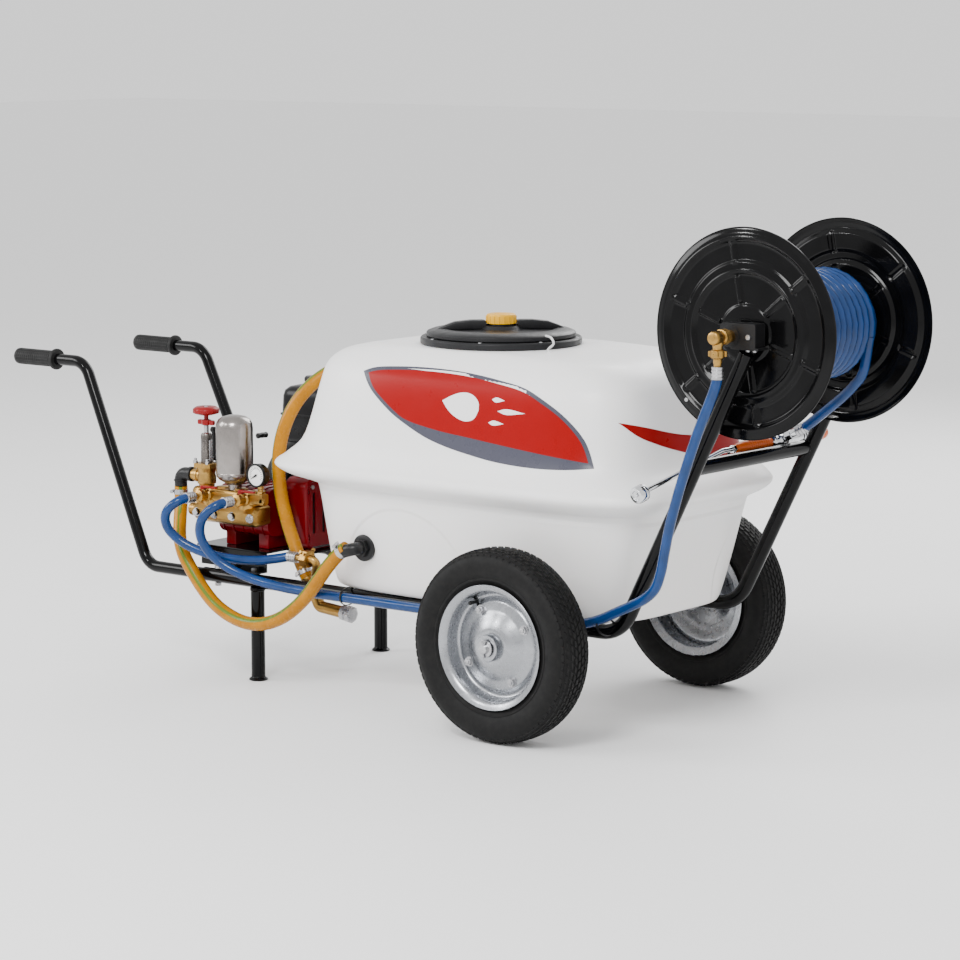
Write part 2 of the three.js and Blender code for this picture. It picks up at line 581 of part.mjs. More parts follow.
function addPump() {
  const caseOutline = roundedRectangle(-148, -22, 280, 378, 22);
  const shaftBore = rod('x', 10 + BORE_GAP, -765, -700, [PUMP_SHAFT.y, PUMP_SHAFT.z]);
  const feet = [-848, -760].map((x) => block(x, x + 26, -140, -30, PLATE_TOP + GAP, 290));
  const bearingCap = rod('x', 34, -730, -720, [PUMP_SHAFT.y, PUMP_SHAFT.z], 20);
  const fillPlug = rod('z', 10, 376, 388, [-812, -60], 8);
  const housing = cut(join(extrudeX(caseOutline, -862, -728), ...feet, bearingCap, fillPlug), shaftBore);
  piece(cart, 'pump_crankcase', housing, RED_PAINT);

  const base = 346;
  const cylinderBlock = extrudeX([[-148.3, 308], [-190, 308], [-200, 318], [-200, 338], [-190, base + 2],
    [-148.3, base + 2]], -888, -721);
  const suction = rod('x', 13, -912, -880, [HEAD_Y, 326], 6);
  const manifold = join(block(-896, -724, -192, -156, base, 376), block(-726, -704, -192, -172, base, 376));
  const bolts = [0, 1, 2, 3].map((i) => rod('y', 7, -206, -190, [-872 + i * 48, 326], 6));
  const cocks = COCK_X.flatMap((x) => [
    rod('y', 11, -216, -180, [x, COCK_Z], 8),
    rod('y', 7, COCK_TIP_Y, -200, [x, COCK_Z], 10),
  ]);
  const gaugeNut = rod('z', 8, 374, 384, [GAUGE.x, GAUGE.y + 4], 6);
  piece(cart, 'pump_head', join(cylinderBlock, suction, manifold, ...bolts, ...cocks, gaugeNut), BRASS);

  const regulator = join(
    rod('z', 19, 376 + GAP, 416, [REGULATOR_X, HEAD_Y], 12),
    block(REGULATOR_X - 22, REGULATOR_X + 22, HEAD_Y - 22, HEAD_Y + 22, 414, 423),
    rod('x', 12, -906, REGULATOR_X, [HEAD_Y, BYPASS.z], 12),
    block(REGULATOR_X - 5, REGULATOR_X + 5, HEAD_Y + 12, HEAD_Y + 16, 420, 434),
    ...[-1, 1].flatMap((i) => [-1, 1].map((k) =>
      rod('z', 4.5, 421, 432, [REGULATOR_X + i * 16, HEAD_Y + k * 16 - (k > 0 ? 1 : 0)], 6))),
  );
  const springHousing = rod('z', 11.5, 422, 483, [REGULATOR_X, HEAD_Y], 12);
  const spindleBore = rod('z', 5 + BORE_GAP, 468, 490, [REGULATOR_X, HEAD_Y], 12);
  piece(cart, 'regulator_body', cut(join(regulator, springHousing), spindleBore), BRASS);

  const knob = [[0, 469], [5, 469], [5, 518], [13, 518], [24, 522], [27, 528], [26, 535], [20, 538], [0, 534]];
  piece(cart, 'regulator_knob', lathe('z', knob, [REGULATOR_X, HEAD_Y, 0], 14), RED_PLASTIC);
  const wings = block(REGULATOR_X - 21, REGULATOR_X + 21, HEAD_Y - 4, HEAD_Y + 4, 500, 510);
  const lockNut = cut(join(rod('z', 11, 500, 511, [REGULATOR_X, HEAD_Y], 6), wings),
    rod('z', 5 + BORE_GAP, 490, 520, [REGULATOR_X, HEAD_Y], 12));
  piece(cart, 'lock_nut', lockNut, RED_PLASTIC);

  const leverY = HEAD_Y + 21;
  const lever = join(
    rod('x', 5, REGULATOR_X - 7, REGULATOR_X + 7, [leverY, 430], 10),
    block(REGULATOR_X - 4, REGULATOR_X + 4, leverY - 2.5, leverY + 2.5, 430, 488),
    rod('x', 6, REGULATOR_X - 5, REGULATOR_X + 5, [leverY, 488], 10),
  );
  piece(cart, 'relief_lever', lever, BLACK_PLASTIC);

  const chamber = [
    [0, 376 + GAP], [14, 376 + GAP], [14, 388], [20, 390], [33, 397], [37.5, 406], [37.5, 505], [34, 516], [24, 523],
    [0, 526],
  ];
  piece(cart, 'air_chamber', lathe('z', chamber, [CHAMBER_X, HEAD_Y, 0], 18), STAINLESS);

  const { x, y, z, r } = GAUGE;
  const dialCase = lathe('y', [[0, y - 9], [20.5, y - 9], [20.5, y - 12], [r, y - 12], [r, y + 10], [0, y + 10]],
    [x, 0, z], 16);
  const stem = rod('z', 5, 384.3, z, [x, y + 4], 10);
  piece(cart, 'gauge', join(dialCase, stem), DIAL_WHITE);
  const needle = join(
    rod('y', 2.5, y - 11, y - 9.3, [x, z], 8),
    block(x - 0.8, x + 0.8, y - 10.6, y - 9.6, z - 5, z + 17),
  );
  piece(cart, 'gauge_needle', needle.translate(-x, -y, -z).rotateY(-2.1).translate(x, y, z), BLACK_PLASTIC);

  COCK_X.forEach((cockX, i) => {
    const hub = rod('z', 6, 373.5, 381, [cockX, -203], 10);
    const arm = block(cockX, cockX + 38, -208, -198, 378, 382);
    piece(cart, `outlet_lever_${i + 1}`, join(hub, arm), RED_PLASTIC);
  });

  const elbow = join(
    rod('x', 14, BYPASS.x, -906.3, [BYPASS.y, BYPASS.z], 12),
    new THREE.SphereGeometry(15, 10, 6).translate(BYPASS.x, BYPASS.y, BYPASS.z),
    rod('z', 13, BYPASS.tip, BYPASS.z, [BYPASS.x, BYPASS.y], 12),
  );
  piece(cart, 'bypass_elbow', elbow, BLACK_PLASTIC);
}

// ---------------------------------------------------------------- belt drive

function pulley(groove, shaftFrom, { y, z }, shaftRadius) {
  const half = 6;
  const flange = groove + BELT_DEPTH + 0.3;
  const wall = 4;
  const wheel = lathe('x', [
    [0, -half - wall], [flange, -half - wall], [flange, -half], [groove, -half], [groove, half],
    [flange, half], [flange, half + wall], [0, half + wall],
  ], [BELT_X, y, z], groove > 30 ? 20 : 14);
  return join(wheel, rod('x', shaftRadius, shaftFrom, BELT_X + half + wall + 2, [y, z]));
}

// The outline of a belt round both pulleys, at an extra radius beyond the grooves.
function beltOutline(extra, steps = 9) {
  const [a, b] = [PUMP_SHAFT, ENGINE_SHAFT];
  const [ra, rb] = [PUMP_GROOVE_R + extra, ENGINE_GROOVE_R + extra];
  const distance = Math.hypot(b.y - a.y, b.z - a.z);
  const lean = Math.atan2(b.z - a.z, b.y - a.y);
  const tangent = Math.acos((ra - rb) / distance);
  const arc = ({ y, z }, r, from, to) => Array.from({ length: steps + 1 }, (_, i) => {
    const angle = from + (to - from) * i / steps;
    return [y + r * Math.cos(angle), z + r * Math.sin(angle)];
  });
  return [
    ...arc(a, ra, lean + tangent, lean + 2 * Math.PI - tangent),
    ...arc(b, rb, lean - tangent, lean + tangent),
  ];
}

function addDrive() {
  piece(cart, 'pump_pulley', pulley(PUMP_GROOVE_R, -760, PUMP_SHAFT, 10), ZINC);
  piece(cart, 'engine_pulley', pulley(ENGINE_GROOVE_R, -745, ENGINE_SHAFT, 9.5), ZINC);
  const belt = extrudeX(beltOutline(BELT_DEPTH), BELT_X - 5.5, BELT_X + 5.5, [beltOutline(2)]);
  piece(cart, 'drive_belt', belt, BLACK_RUBBER);

  const [rear, front] = [-712, -654];
  const sheet = 2;
  const outline = roundedRectangle(-115, 145, PLATE_TOP + GAP, 401, 24);
  const hollow = roundedRectangle(-115 + sheet, 145 - sheet, PLATE_TOP + GAP + sheet, 401 - sheet, 22);
  const shell = cut(extrudeX(outline, rear, front), extrudeX(hollow, rear - 1, front - sheet));
  const louvres = Array.from({ length: 8 }, (_, i) =>
    block(front - 5, front + 5, -96 + i * 29, -88 + i * 29, 290, 372));
  piece(cart, 'belt_guard', cut(shell, ...louvres), RED_PAINT);
}

// ---------------------------------------------------------------- engine

function addEngine() {
  const { y: cy, z: cz } = ENGINE_SHAFT;
  const crankcase = extrudeX(roundedRectangle(34, 176, PLATE_TOP + 8, 420, 20), -828, -722);
  const base = block(-835, -722, 28, 180, PLATE_TOP + GAP, PLATE_TOP + 14);
  const shroud = rod('x', 87, -882, -826, [cy, cz], 18);
  const recoil = lathe('x', [[0, -912], [50, -912], [68, -900], [72, -880], [0, -880]], [0, cy, cz], 14);
  const neck = block(-815, -735, 60, 170, 415, 448);
  const fins = [0, 1, 2, 3].map((i) => block(-812, -738, 168, 196, 330 + i * 18, 336 + i * 18));
  const muffler = extrudeX(roundedRectangle(198, 244, 400, 486, 10), -764, -690);
  const exhaust = [rod('y', 9, 170, 200, [-750, 425], 10), rod('x', 8, -692, -676, [222, 445], 10)];
  const shaftBore = rod('x', 9.5 + BORE_GAP, -750, -700, [cy, cz]);
  const body = cut(join(crankcase, base, shroud, recoil, neck, ...fins, muffler, ...exhaust), shaftBore);
  piece(cart, 'engine_body', body, BLACK_PAINT);

  const grip = join(
    rod('y', 6, 32, 62, [-918, 452], 10),
    block(-914, -906, 43, 51, 448, 456),
  );
  piece(cart, 'recoil_handle', grip, BLACK_PLASTIC);

  const tankBody = extrudeX(roundedRectangle(5, 180, 448.3, 566, 30), -840, -700);
  const filler = rod('z', 16, 564, 572, [-782, 60], 16);
  piece(cart, 'fuel_tank', join(tankBody, filler), BLACK_PAINT);
  const cap = lathe('z', [[0, 572.3], [22, 572.3], [22, 582], [18, 585], [0, 585]], [-782, 60, 0], 14);
  piece(cart, 'fuel_cap', cap, BLACK_PLASTIC);
  const cleaner = extrudeX(roundedRectangle(196.5, 244, 392, 500, 14), -832, -772);
  piece(cart, 'air_cleaner', cleaner, BLACK_PLASTIC);
}

// ---------------------------------------------------------------- hoses

// Every route is the centreline of a hose, from where it is pushed onto a fitting.
const BYPASS_ROUTE = [
  [-942, -172, 369.2], [-942, -172, 357], [-939, -176, 332], [-929, -190, 302], [-914, -207, 273],
  [-894, -219, 244], [-868, -223, 212], [-838, -225, 180], [-802, -227, 151], [-760, -229, 132],
  [-712, -232, 123], [-664, -235, 127], [-618, -238, 143], [-577, -241, 168], [-541, -243, 199],
  [-511, -245, 232], [-484, -246, 263], [-463, -246, 284], [-447.9, -246, 296.9], [-437.8, -246, 303.5],
];

const FILL_ROUTE = [
  [-622.4, -150, 211.7], [-628.8, -150, 221.9], [-640, -149, 240], [-654, -147, 266], [-669, -146, 297],
  [-682, -146, 331], [-693, -146, 369], [-700, -145, 409], [-703, -141, 449], [-700, -134, 489],
  [-690, -124, 528], [-675, -110, 562], [-656, -93, 590], [-636, -75, 610], [-622, -63.5, 619],
  [-608, -52.5, 622], [-598.4, -45.3, 622],
];

const JET_ROUTE = [
  [-852, -238.8, 362], [-852, -251, 362], [-856, -265, 359], [-866, -275, 351], [-878, -280, 338],
  [-885, -279, 321], [-884, -274, 303], [-874, -267, 287], [-856, -258, 272], [-831, -248, 260],
  [-801, -237, 251], [-767, -226, 246], [-731, -213, 244], [-696, -198, 246], [-666, -186, 251],
  [-641, -178, 256], [-628.8, -178, 256],
];

const REEL_FEED_ROUTE = [
  [-750, -238.8, 362], [-750, -251, 362], [-756, -266, 358], [-769, -276, 347], [-783, -280, 330],
  [-792, -278, 309], [-793, -272, 287], [-785, -264, 266], [-769, -255, 247], [-746, -245, 231],
  [-715, -235, 218], [-676, -228, 209], [-628, -223, 203], [-570, -220, 200], [-500, -218, 199],
  [-420, -217, 199], [-330, -217, 199], [-240, -217, 200], [-150, -217, 202], [-70, -217, 205],
  [0, -217, 207], [60, -217, 210], [110, -219, 217], [150, -222, 230], [186, -224, 247],
  [220, -226, 263], [252, -229, 280], [277, -232, 302], [291, -235, 332], [301, -238, 370],
  [314, -241, 420], [333, -244, 478], [355, -246, 538], [379, -246.3, 600], [399, -246.3, 645],
  [411, -246.3, 674], [415.6, -246.3, 691], [416, -246.3, 703],
];

const REEL_TAIL_ROUTE = [
  [501.5, 109, 689], [489.5, 112, 671.5], [471, 116, 651], [448, 120, 630], [420, 126, 609], [391, 133, 589],
  [364, 138.5, 570], [346.5, 140.9, 558.6], [336.3, 137.6, 553.1],
];

function addHoses() {
  piece(cart, 'bypass_hose', hose(BYPASS_ROUTE, YELLOW_R, 18), YELLOW_HOSE);
  piece(cart, 'fill_hose', hose(FILL_ROUTE, YELLOW_R, 14), YELLOW_HOSE);
  piece(cart, 'jet_hose', hose(JET_ROUTE, BLUE_R, 16), BLUE_HOSE);
  piece(cart, 'reel_feed_hose', hose(REEL_FEED_ROUTE, BLUE_R, 40), BLUE_HOSE);
  piece(cart, 'reel_tail_hose', hose(REEL_TAIL_ROUTE, BLUE_R, 9), BLUE_HOSE);
}

// The ejector draws fresh water in through the coupling and drives it up the fill hose.
// Its jet union stands in front of the fill hose, and an arm leads from there down into the body.
function addEjector() {
  const [y, jetY, jetZ] = [-150, -178, 256];
  const bodyTop = [-622, y, 211];
  const bodyEnd = [-600, y, 176];
  const body = strut(bodyTop, bodyEnd, 14);
  const nipple = rod('x', 7, -628, -600, [jetY, jetZ], 8);
  const nut = rod('x', 20, -606, -590, [jetY, jetZ], 6);
  const arm = bentTube([[-594, jetY, jetZ], [-574, jetY + 2, jetZ - 2], [-606, y, 188]], 9, 10, 8);
  const stub = bentTube([bodyEnd, [-590, y, 158], [-520, y, 152]], 12, 12, 8);
  const coupling = strut([-530, y, 152.8], [-504, y, 150.6], 16, 8);
  piece(cart, 'ejector', join(body, nipple, nut, arm, stub, coupling), BRASS);
}

// ---------------------------------------------------------------- spray gun

// The gun lies behind the crossbar in two hooks, with its lance pointing to the operator's right.
const GUN = { x: 303, z: 534 };

function addGun() {
  const grip = lathe('y', [[0, -22], [7, -22], [9, -10], [12, 0], [12, 88], [9, 95], [0, 95]],
    [GUN.x, 0, GUN.z], 12);
  const valve = lathe('y', [[0, 90], [13, 94], [15, 104], [15, 140], [8, 148], [8, 236], [0, 236]],
    [GUN.x, 0, GUN.z], 12);
  const hosePort = strut([GUN.x + 4, 128, GUN.z + 3], [335.5, 137.3, 552.6], 7, 10);
  const leverPivot = rod('x', 3, GUN.x - 22, GUN.x - 2, [156, GUN.z + 4], 8);
  piece(cart, 'gun_body', join(grip, valve, hosePort, leverPivot), ORANGE_PLASTIC);

  const knob = lathe('y', [[0, 236.3], [12, 236.3], [14, 242], [14, 272], [11, 282], [0, 284]],
    [GUN.x, 0, GUN.z], 12);
  piece(cart, 'gun_pattern_knob', knob, ORANGE_PLASTIC);

  const lever = join(
    ring('x', 3 + GAP, 7, GUN.x - 21, GUN.x - 15, [156, GUN.z + 4], 12),
    block(GUN.x - 21, GUN.x - 15, 160, 196, GUN.z + 1, GUN.z + 7),
    block(GUN.x - 21, GUN.x + 6, 184, 196, GUN.z + 12, GUN.z + 17),
    block(GUN.x - 21, GUN.x - 15, 184, 196, GUN.z + 3, GUN.z + 15),
  );
  piece(cart, 'gun_trigger', lever, RED_PLASTIC);

  const tube = bentTube([[GUN.x, -22.3, GUN.z], [GUN.x, -60, GUN.z], [271, -270, 477.5]], 4.5, 60, 10);
  const nozzle = strut([272.5, -261, 480], [269, -283, 474], 16, 16);
  piece(cart, 'lance', join(tube, nozzle), CHROME);
}

// ---------------------------------------------------------------- assembly

SIDES.forEach(([name, side]) => {
  addFrameRail(`frame_rail_${name}`, side);
  addLeg(`leg_${name}`, side);
  addHandle(`handle_${name}`, `grip_${name}`, side);
  addWheel(name, side);
});
addCrossbar();
addEnginePlate();
addAxle();
addTank();
addLid();
addTankElbow();
addReel();
addPump();
addDrive();
addEngine();
addEjector();
addHoses();
addGun();
cart.position.x = AXLE_X;

export default cart;
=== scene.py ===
"""Looks of a wheeled sprayer cart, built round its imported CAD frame.

Lengths are in millimetres in the cart's own frame: X forward from the axle, Y to the operator's
left, Z up from the ground. point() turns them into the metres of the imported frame.
"""
import math

import bmesh
import bpy
import numpy as np
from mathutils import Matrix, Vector
from mathutils.bvhtree import BVHTree


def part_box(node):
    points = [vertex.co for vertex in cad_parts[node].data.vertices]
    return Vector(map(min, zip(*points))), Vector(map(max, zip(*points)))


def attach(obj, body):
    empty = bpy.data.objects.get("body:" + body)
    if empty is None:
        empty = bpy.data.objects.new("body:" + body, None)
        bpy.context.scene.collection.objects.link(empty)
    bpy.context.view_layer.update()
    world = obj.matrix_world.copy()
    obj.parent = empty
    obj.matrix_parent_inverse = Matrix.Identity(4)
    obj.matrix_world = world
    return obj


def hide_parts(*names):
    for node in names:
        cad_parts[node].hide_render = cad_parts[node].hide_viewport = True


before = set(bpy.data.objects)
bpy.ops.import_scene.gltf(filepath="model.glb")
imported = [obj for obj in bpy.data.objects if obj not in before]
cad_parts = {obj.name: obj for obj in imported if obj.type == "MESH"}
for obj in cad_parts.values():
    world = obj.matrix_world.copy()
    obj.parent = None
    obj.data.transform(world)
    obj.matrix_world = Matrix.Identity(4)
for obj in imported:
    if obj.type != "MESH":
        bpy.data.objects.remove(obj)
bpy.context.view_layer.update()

MM = 0.001
AXLE_X = sum(corner.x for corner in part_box("axle")) / 2


def point(p):
    """A place in the cart's frame, in millimetres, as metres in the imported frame."""
    return Vector((p[0] * MM + AXLE_X, p[1] * MM, p[2] * MM))


# ---------------------------------------------------------------- camera

def add_camera():
    target = Vector((-305, 0, 419))
    azimuth, elevation, distance = math.radians(38.3), math.radians(8.3), 6310
    towards = Vector((math.sin(azimuth) * math.cos(elevation),
                      -math.cos(azimuth) * math.cos(elevation), math.sin(elevation)))
    camera = bpy.data.objects.new("camera", bpy.data.cameras.new("camera"))
    camera.data.lens = 121.5
    camera.data.sensor_width = 36
    camera.data.clip_end = 60
    camera.location = point(target + towards * distance)
    camera.rotation_euler = towards.to_track_quat("Z", "Y").to_euler()
    bpy.context.scene.collection.objects.link(camera)
    bpy.context.scene.camera = camera


add_camera()


# ---------------------------------------------------------------- materials

class Finish:
    """A material whose Principled shader gets its colour, roughness and relief from nodes."""

    def __init__(self, name, color, roughness, metallic=0.0, **sockets):
        self.material = bpy.data.materials.new(name)
        self.material.use_nodes = True
        self.tree = self.material.node_tree
        self.shader = self.tree.nodes["Principled BSDF"]
        self.color, self.roughness = color, roughness
        self.set("Base Color", (*color, 1))
        self.set("Roughness", roughness)
        self.set("Metallic", metallic)
        for socket, value in sockets.items():
            self.set(socket.replace("_", " "), value)
        self.place = self.node("ShaderNodeTexCoord").outputs["Object"]
        self.relief = None

    def set(self, socket, value):
        if isinstance(value, bpy.types.NodeSocket):
            self.tree.links.new(value, self.shader.inputs[socket])
        else:
            self.shader.inputs[socket].default_value = value

    def node(self, kind, inputs=(), **settings):
        made = self.tree.nodes.new(kind)
        for key, value in settings.items():
            setattr(made, key, value)
        for key, value in dict(inputs).items():
            if isinstance(value, bpy.types.NodeSocket):
                self.tree.links.new(value, made.inputs[key])
            else:
                made.inputs[key].default_value = value
        return made

    def math(self, operation, *values):
        return self.node("ShaderNodeMath", dict(enumerate(values)), operation=operation).outputs[0]

    def axis(self, name):
        return self.node("ShaderNodeSeparateXYZ", {0: self.place}).outputs[name]

    def stretched(self, scale):
        return self.node("ShaderNodeMapping", {"Vector": self.place, "Scale": scale}).outputs[0]

    def noise(self, scale, detail=3.0, where=None):
        inputs = {"Vector": where or self.place, "Scale": scale, "Detail": detail}
        return self.node("ShaderNodeTexNoise", inputs).outputs["Fac"]

    def cells(self, scale, feature="F1", where=None):
        inputs = {"Vector": where or self.place, "Scale": scale}
        return self.node("ShaderNodeTexVoronoi", inputs, feature=feature)

    def between(self, value, low, high, to_low=0.0, to_high=1.0, smooth=False):
        inputs = {"Value": value, 1: low, 2: high, 3: to_low, 4: to_high}
        kind = "SMOOTHSTEP" if smooth else "LINEAR"
        return self.node("ShaderNodeMapRange", inputs, interpolation_type=kind).outputs[0]

    def mix(self, factor, a, b):
        a = a if isinstance(a, bpy.types.NodeSocket) else (*a, 1)
        b = b if isinstance(b, bpy.types.NodeSocket) else (*b, 1)
        made = self.node("ShaderNodeMix", {0: factor, 6: a, 7: b}, data_type="RGBA")
        return made.outputs[2]

    def vary_color(self, other, scale, low=0.35, high=0.7, where=None):
        amount = self.between(self.noise(scale, 4.0, where), low, high)
        self.set("Base Color", self.mix(amount, self.color, other))
        return self

    def vary_roughness(self, spread, scale, where=None):
        value = self.noise(scale, 4.0, where)
        self.set("Roughness", self.between(value, 0.3, 0.7, self.roughness - spread, self.roughness + spread))
        return self

    def bump(self, height, depth, strength=1.0):
        inputs = {"Height": height, "Distance": depth * MM, "Strength": strength}
        if self.relief:
            inputs["Normal"] = self.relief
        self.relief = self.node("ShaderNodeBump", inputs).outputs[0]
        self.set("Normal", self.relief)
        return self

    def radial(self, centre, first, second):
        """Distance from an axis through centre, in metres, in the plane of two axes."""
        a = self.math("SUBTRACT", self.axis(first), centre[0])
        b = self.math("SUBTRACT", self.axis(second), centre[1])
        return self.math("SQRT", self.math("ADD", self.math("MULTIPLY", a, a), self.math("MULTIPLY", b, b)))


def powder_coat(name, color, roughness):
    made = Finish(name, color, roughness, Specular_IOR_Level=0.16)
    made.vary_roughness(0.04, 30).bump(made.noise(700, 1.0), 0.03)
    return made.vary_color(tuple(c * 1.5 + 0.001 for c in color), 18)


def moulded(name, color, roughness, grain=1600, depth=0.05):
    made = Finish(name, color, roughness, Specular_IOR_Level=0.28)
    made.vary_roughness(0.08, 60).bump(made.noise(grain, 2.0), depth)
    return made.vary_color(tuple(c * 1.2 + 0.002 for c in color), 25)


def metal(name, color, roughness, other, grain=(1, 1, 1), scale=400, depth=0.03):
    made = Finish(name, color, roughness, 1.0)
    where = made.stretched(grain)
    made.vary_roughness(0.08, scale, where).bump(made.noise(scale * 2, 3.0, where), depth)
    return made.vary_color(other, 45)


def hose_cover(name, color, bright, cell):
    """A glossy cover with the reinforcing braid showing faintly through it."""
    made = Finish(name, color, 0.2, Specular_IOR_Level=0.4)
    braid = made.cells(cell).outputs["Distance"]
    made.bump(braid, 0.25, 0.35)
    made.set("Base Color", made.mix(made.between(made.noise(35), 0.35, 0.7), color, bright))
    return made.vary_roughness(0.05, 90)


def tank_plastic():
    """Rotationally moulded polyethylene: a faint orange peel, slow waviness and moulded swirls, with painted
    shade that makes it warmer and darker towards the bottom.
    """
    made = Finish("white_polyethylene", (0.86, 0.85, 0.845), 0.36, Subsurface_Weight=0.18,
                  Subsurface_Scale=0.02, Specular_IOR_Level=0.4)
    made.set("Subsurface Radius", (1.0, 0.85, 0.7))
    # Painted shade: below 0.44 m the white turns warmer and darker towards the bottom, with a slow noise in
    # that shade.
    low = made.between(made.axis("Z"), 0.2, 0.44)
    painted_shade_tone = made.mix(made.noise(6, 3.0), (0.87, 0.84, 0.81), (0.82, 0.80, 0.785))
    made.set("Base Color", made.mix(low, painted_shade_tone, (0.88, 0.875, 0.87)))
    made.vary_roughness(0.06, 22)
    made.bump(made.noise(9, 2.0), 3.0, 0.25)
    made.bump(made.noise(260, 3.0), 0.12, 0.5)
    side = made.radial((point((-320, 0, 0)).x, 0.228), "X", "Z")
    below = made.between(made.axis("Z"), 0.396, 0.404, 1.0, 0.0)
    made.bump(made.math("MULTIPLY", made.between(side, 0.154, 0.162, smooth=True), below), 2.2, 0.7)
    front = made.radial((0.19, 0.28), "Y", "Z")
    made.bump(made.math("MULTIPLY", made.between(front, 0.102, 0.109, smooth=True), below), 2.0, 0.6)
    return made


def tyre_rubber():
    made = Finish("tyre_rubber", (0.006, 0.006, 0.0062), 0.6, Specular_IOR_Level=0.15)
    made.bump(made.noise(900, 4.0), 0.08).vary_roughness(0.07, 50)
    return made.vary_color((0.01, 0.0096, 0.0092), 120, 0.4, 0.75)


def galvanised():
    """Zinc plate over a spun pressing: small spangles and faint circular brushing."""
    made = Finish("zinc_plate", (0.6, 0.61, 0.625), 0.3, 1.0)
    spangle = made.cells(160).outputs["Color"]
    tone = made.node("ShaderNodeSeparateColor", {0: spangle}).outputs[0]
    made.set("Base Color", made.mix(made.between(tone, 0, 1, 0.0, 0.14), (0.36, 0.37, 0.39),
                                    (0.3, 0.31, 0.33)))
    made.set("Roughness", made.between(tone, 0, 1, 0.24, 0.32))
    rings = made.math("SINE", made.math("MULTIPLY", made.radial((AXLE_X, 0.18), "X", "Z"), 3600))
    return made.bump(rings, 0.012, 0.5).bump(made.noise(60, 2.0), 0.05)


def striped_hose():
    """The yellow hose has a green line along it, at the seam marked by the mesh's stripe attribute."""
    made = Finish("yellow_hose", (0.37, 0.145, 0.0), 0.26, Specular_IOR_Level=0.2)
    mark = made.node("ShaderNodeAttribute", attribute_name="stripe").outputs["Fac"]
    tone = made.mix(made.between(made.noise(30), 0.35, 0.7), (0.35, 0.135, 0.0), (0.43, 0.175, 0.0))
    made.set("Base Color", made.mix(made.between(mark, 0.4, 0.6), tone, (0.1, 0.15, 0.01)))
    made.bump(made.cells(230).outputs["Distance"], 0.2, 0.25)
    return made.vary_roughness(0.05, 80)


def dial_face():
    """A white dial with a black scale arc and ticks drawn by angle round the gauge's centre."""
    made = Finish("dial", (0.85, 0.85, 0.82), 0.35)
    centre = point((GAUGE_X, 0, GAUGE_Z))
    a = made.math("SUBTRACT", made.axis("X"), centre.x)
    b = made.math("SUBTRACT", made.axis("Z"), centre.z)
    angle = made.math("ARCTAN2", a, b)
    radius = made.radial((centre.x, centre.z), "X", "Z")
    ticks = made.between(made.math("COSINE", made.math("MULTIPLY", angle, 24)), 0.3, 0.55)
    band = made.math("MULTIPLY", made.between(radius, 0.0124, 0.0127),
                     made.between(radius, 0.0168, 0.0171, 1, 0))
    swept = made.between(made.math("ABSOLUTE", angle), 2.25, 2.3, 1, 0)
    ink = made.math("MULTIPLY", made.math("MULTIPLY", ticks, band), swept)
    made.set("Base Color", made.mix(ink, (0.85, 0.85, 0.82), (0.02, 0.02, 0.02)))
    return made.vary_roughness(0.04, 200)


GAUGE_X, GAUGE_Z = -716, 413

BLACK_PAINT = powder_coat("black_powder_coat", (0.0014, 0.0014, 0.0016), 0.11)
ENGINE_PAINT = powder_coat("engine_enamel", (0.005, 0.005, 0.0055), 0.3)
RED_PAINT = powder_coat("red_enamel", (0.12, 0.0008, 0.004), 0.18)
BLACK_PLASTIC = moulded("black_plastic", (0.005, 0.005, 0.0055), 0.38)
LID_PLASTIC = moulded("lid_plastic", (0.008, 0.008, 0.009), 0.4, 900, 0.06)
GRIP_RUBBER = moulded("grip_rubber", (0.007, 0.007, 0.007), 0.55, 1200, 0.08)
RED_PLASTIC = moulded("red_plastic", (0.2, 0.0, 0.001), 0.35)
ORANGE_PLASTIC = moulded("orange_plastic", (0.55, 0.085, 0.0), 0.4)
YELLOW_PLASTIC = moulded("yellow_plastic", (0.7, 0.36, 0.0), 0.32)
CLEAR_PLASTIC = moulded("tether_plastic", (0.62, 0.62, 0.62), 0.15)
TANK_PLASTIC = tank_plastic()
TYRE_RUBBER = tyre_rubber()
ZINC = galvanised()
STEEL = metal("plated_steel", (0.52, 0.52, 0.53), 0.3, (0.38, 0.38, 0.4))
BRASS = metal("cast_brass", (0.43, 0.255, 0.07), 0.34, (0.38, 0.22, 0.06), scale=260, depth=0.006)
CHROME = metal("chrome", (0.72, 0.73, 0.75), 0.08, (0.6, 0.61, 0.63), depth=0.005)
STAINLESS = metal("brushed_stainless", (0.3, 0.275, 0.26), 0.24, (0.25, 0.23, 0.215), (40, 40, 1), 60)
DARK_STEEL = metal("dark_steel", (0.16, 0.145, 0.135), 0.3, (0.1, 0.09, 0.085))
BELT_RUBBER = moulded("belt_rubber", (0.008, 0.008, 0.008), 0.7)
BLUE_HOSE = hose_cover("blue_hose", (0.0, 0.026, 0.11), (0.0, 0.036, 0.16), 300)
YELLOW_HOSE = striped_hose()
DIAL = dial_face()
DECAL_RED = Finish("decal_red", (0.26, 0.0, 0.001), 0.3, Specular_IOR_Level=0.12).vary_roughness(0.03, 40)
DECAL_GREY = Finish("decal_grey", (0.055, 0.056, 0.078), 0.28, Specular_IOR_Level=0.25)
DECAL_GREY.vary_roughness(0.03, 40)
DECAL_WHITE = Finish("decal_white", (0.85, 0.85, 0.85), 0.24).vary_roughness(0.03, 40)


# ---------------------------------------------------------------- mesh building

AXES = {"x": Vector((1, 0, 0)), "y": Vector((0, 1, 0)), "z": Vector((0, 0, 1))}


def across(direction):
    """Two unit vectors square to a direction and to each other."""
    direction = Vector(direction).normalized()
    helper = AXES["z"] if abs(direction.z) < 0.9 else AXES["x"]
    first = helper.cross(direction).normalized()
    return first, direction.cross(first)


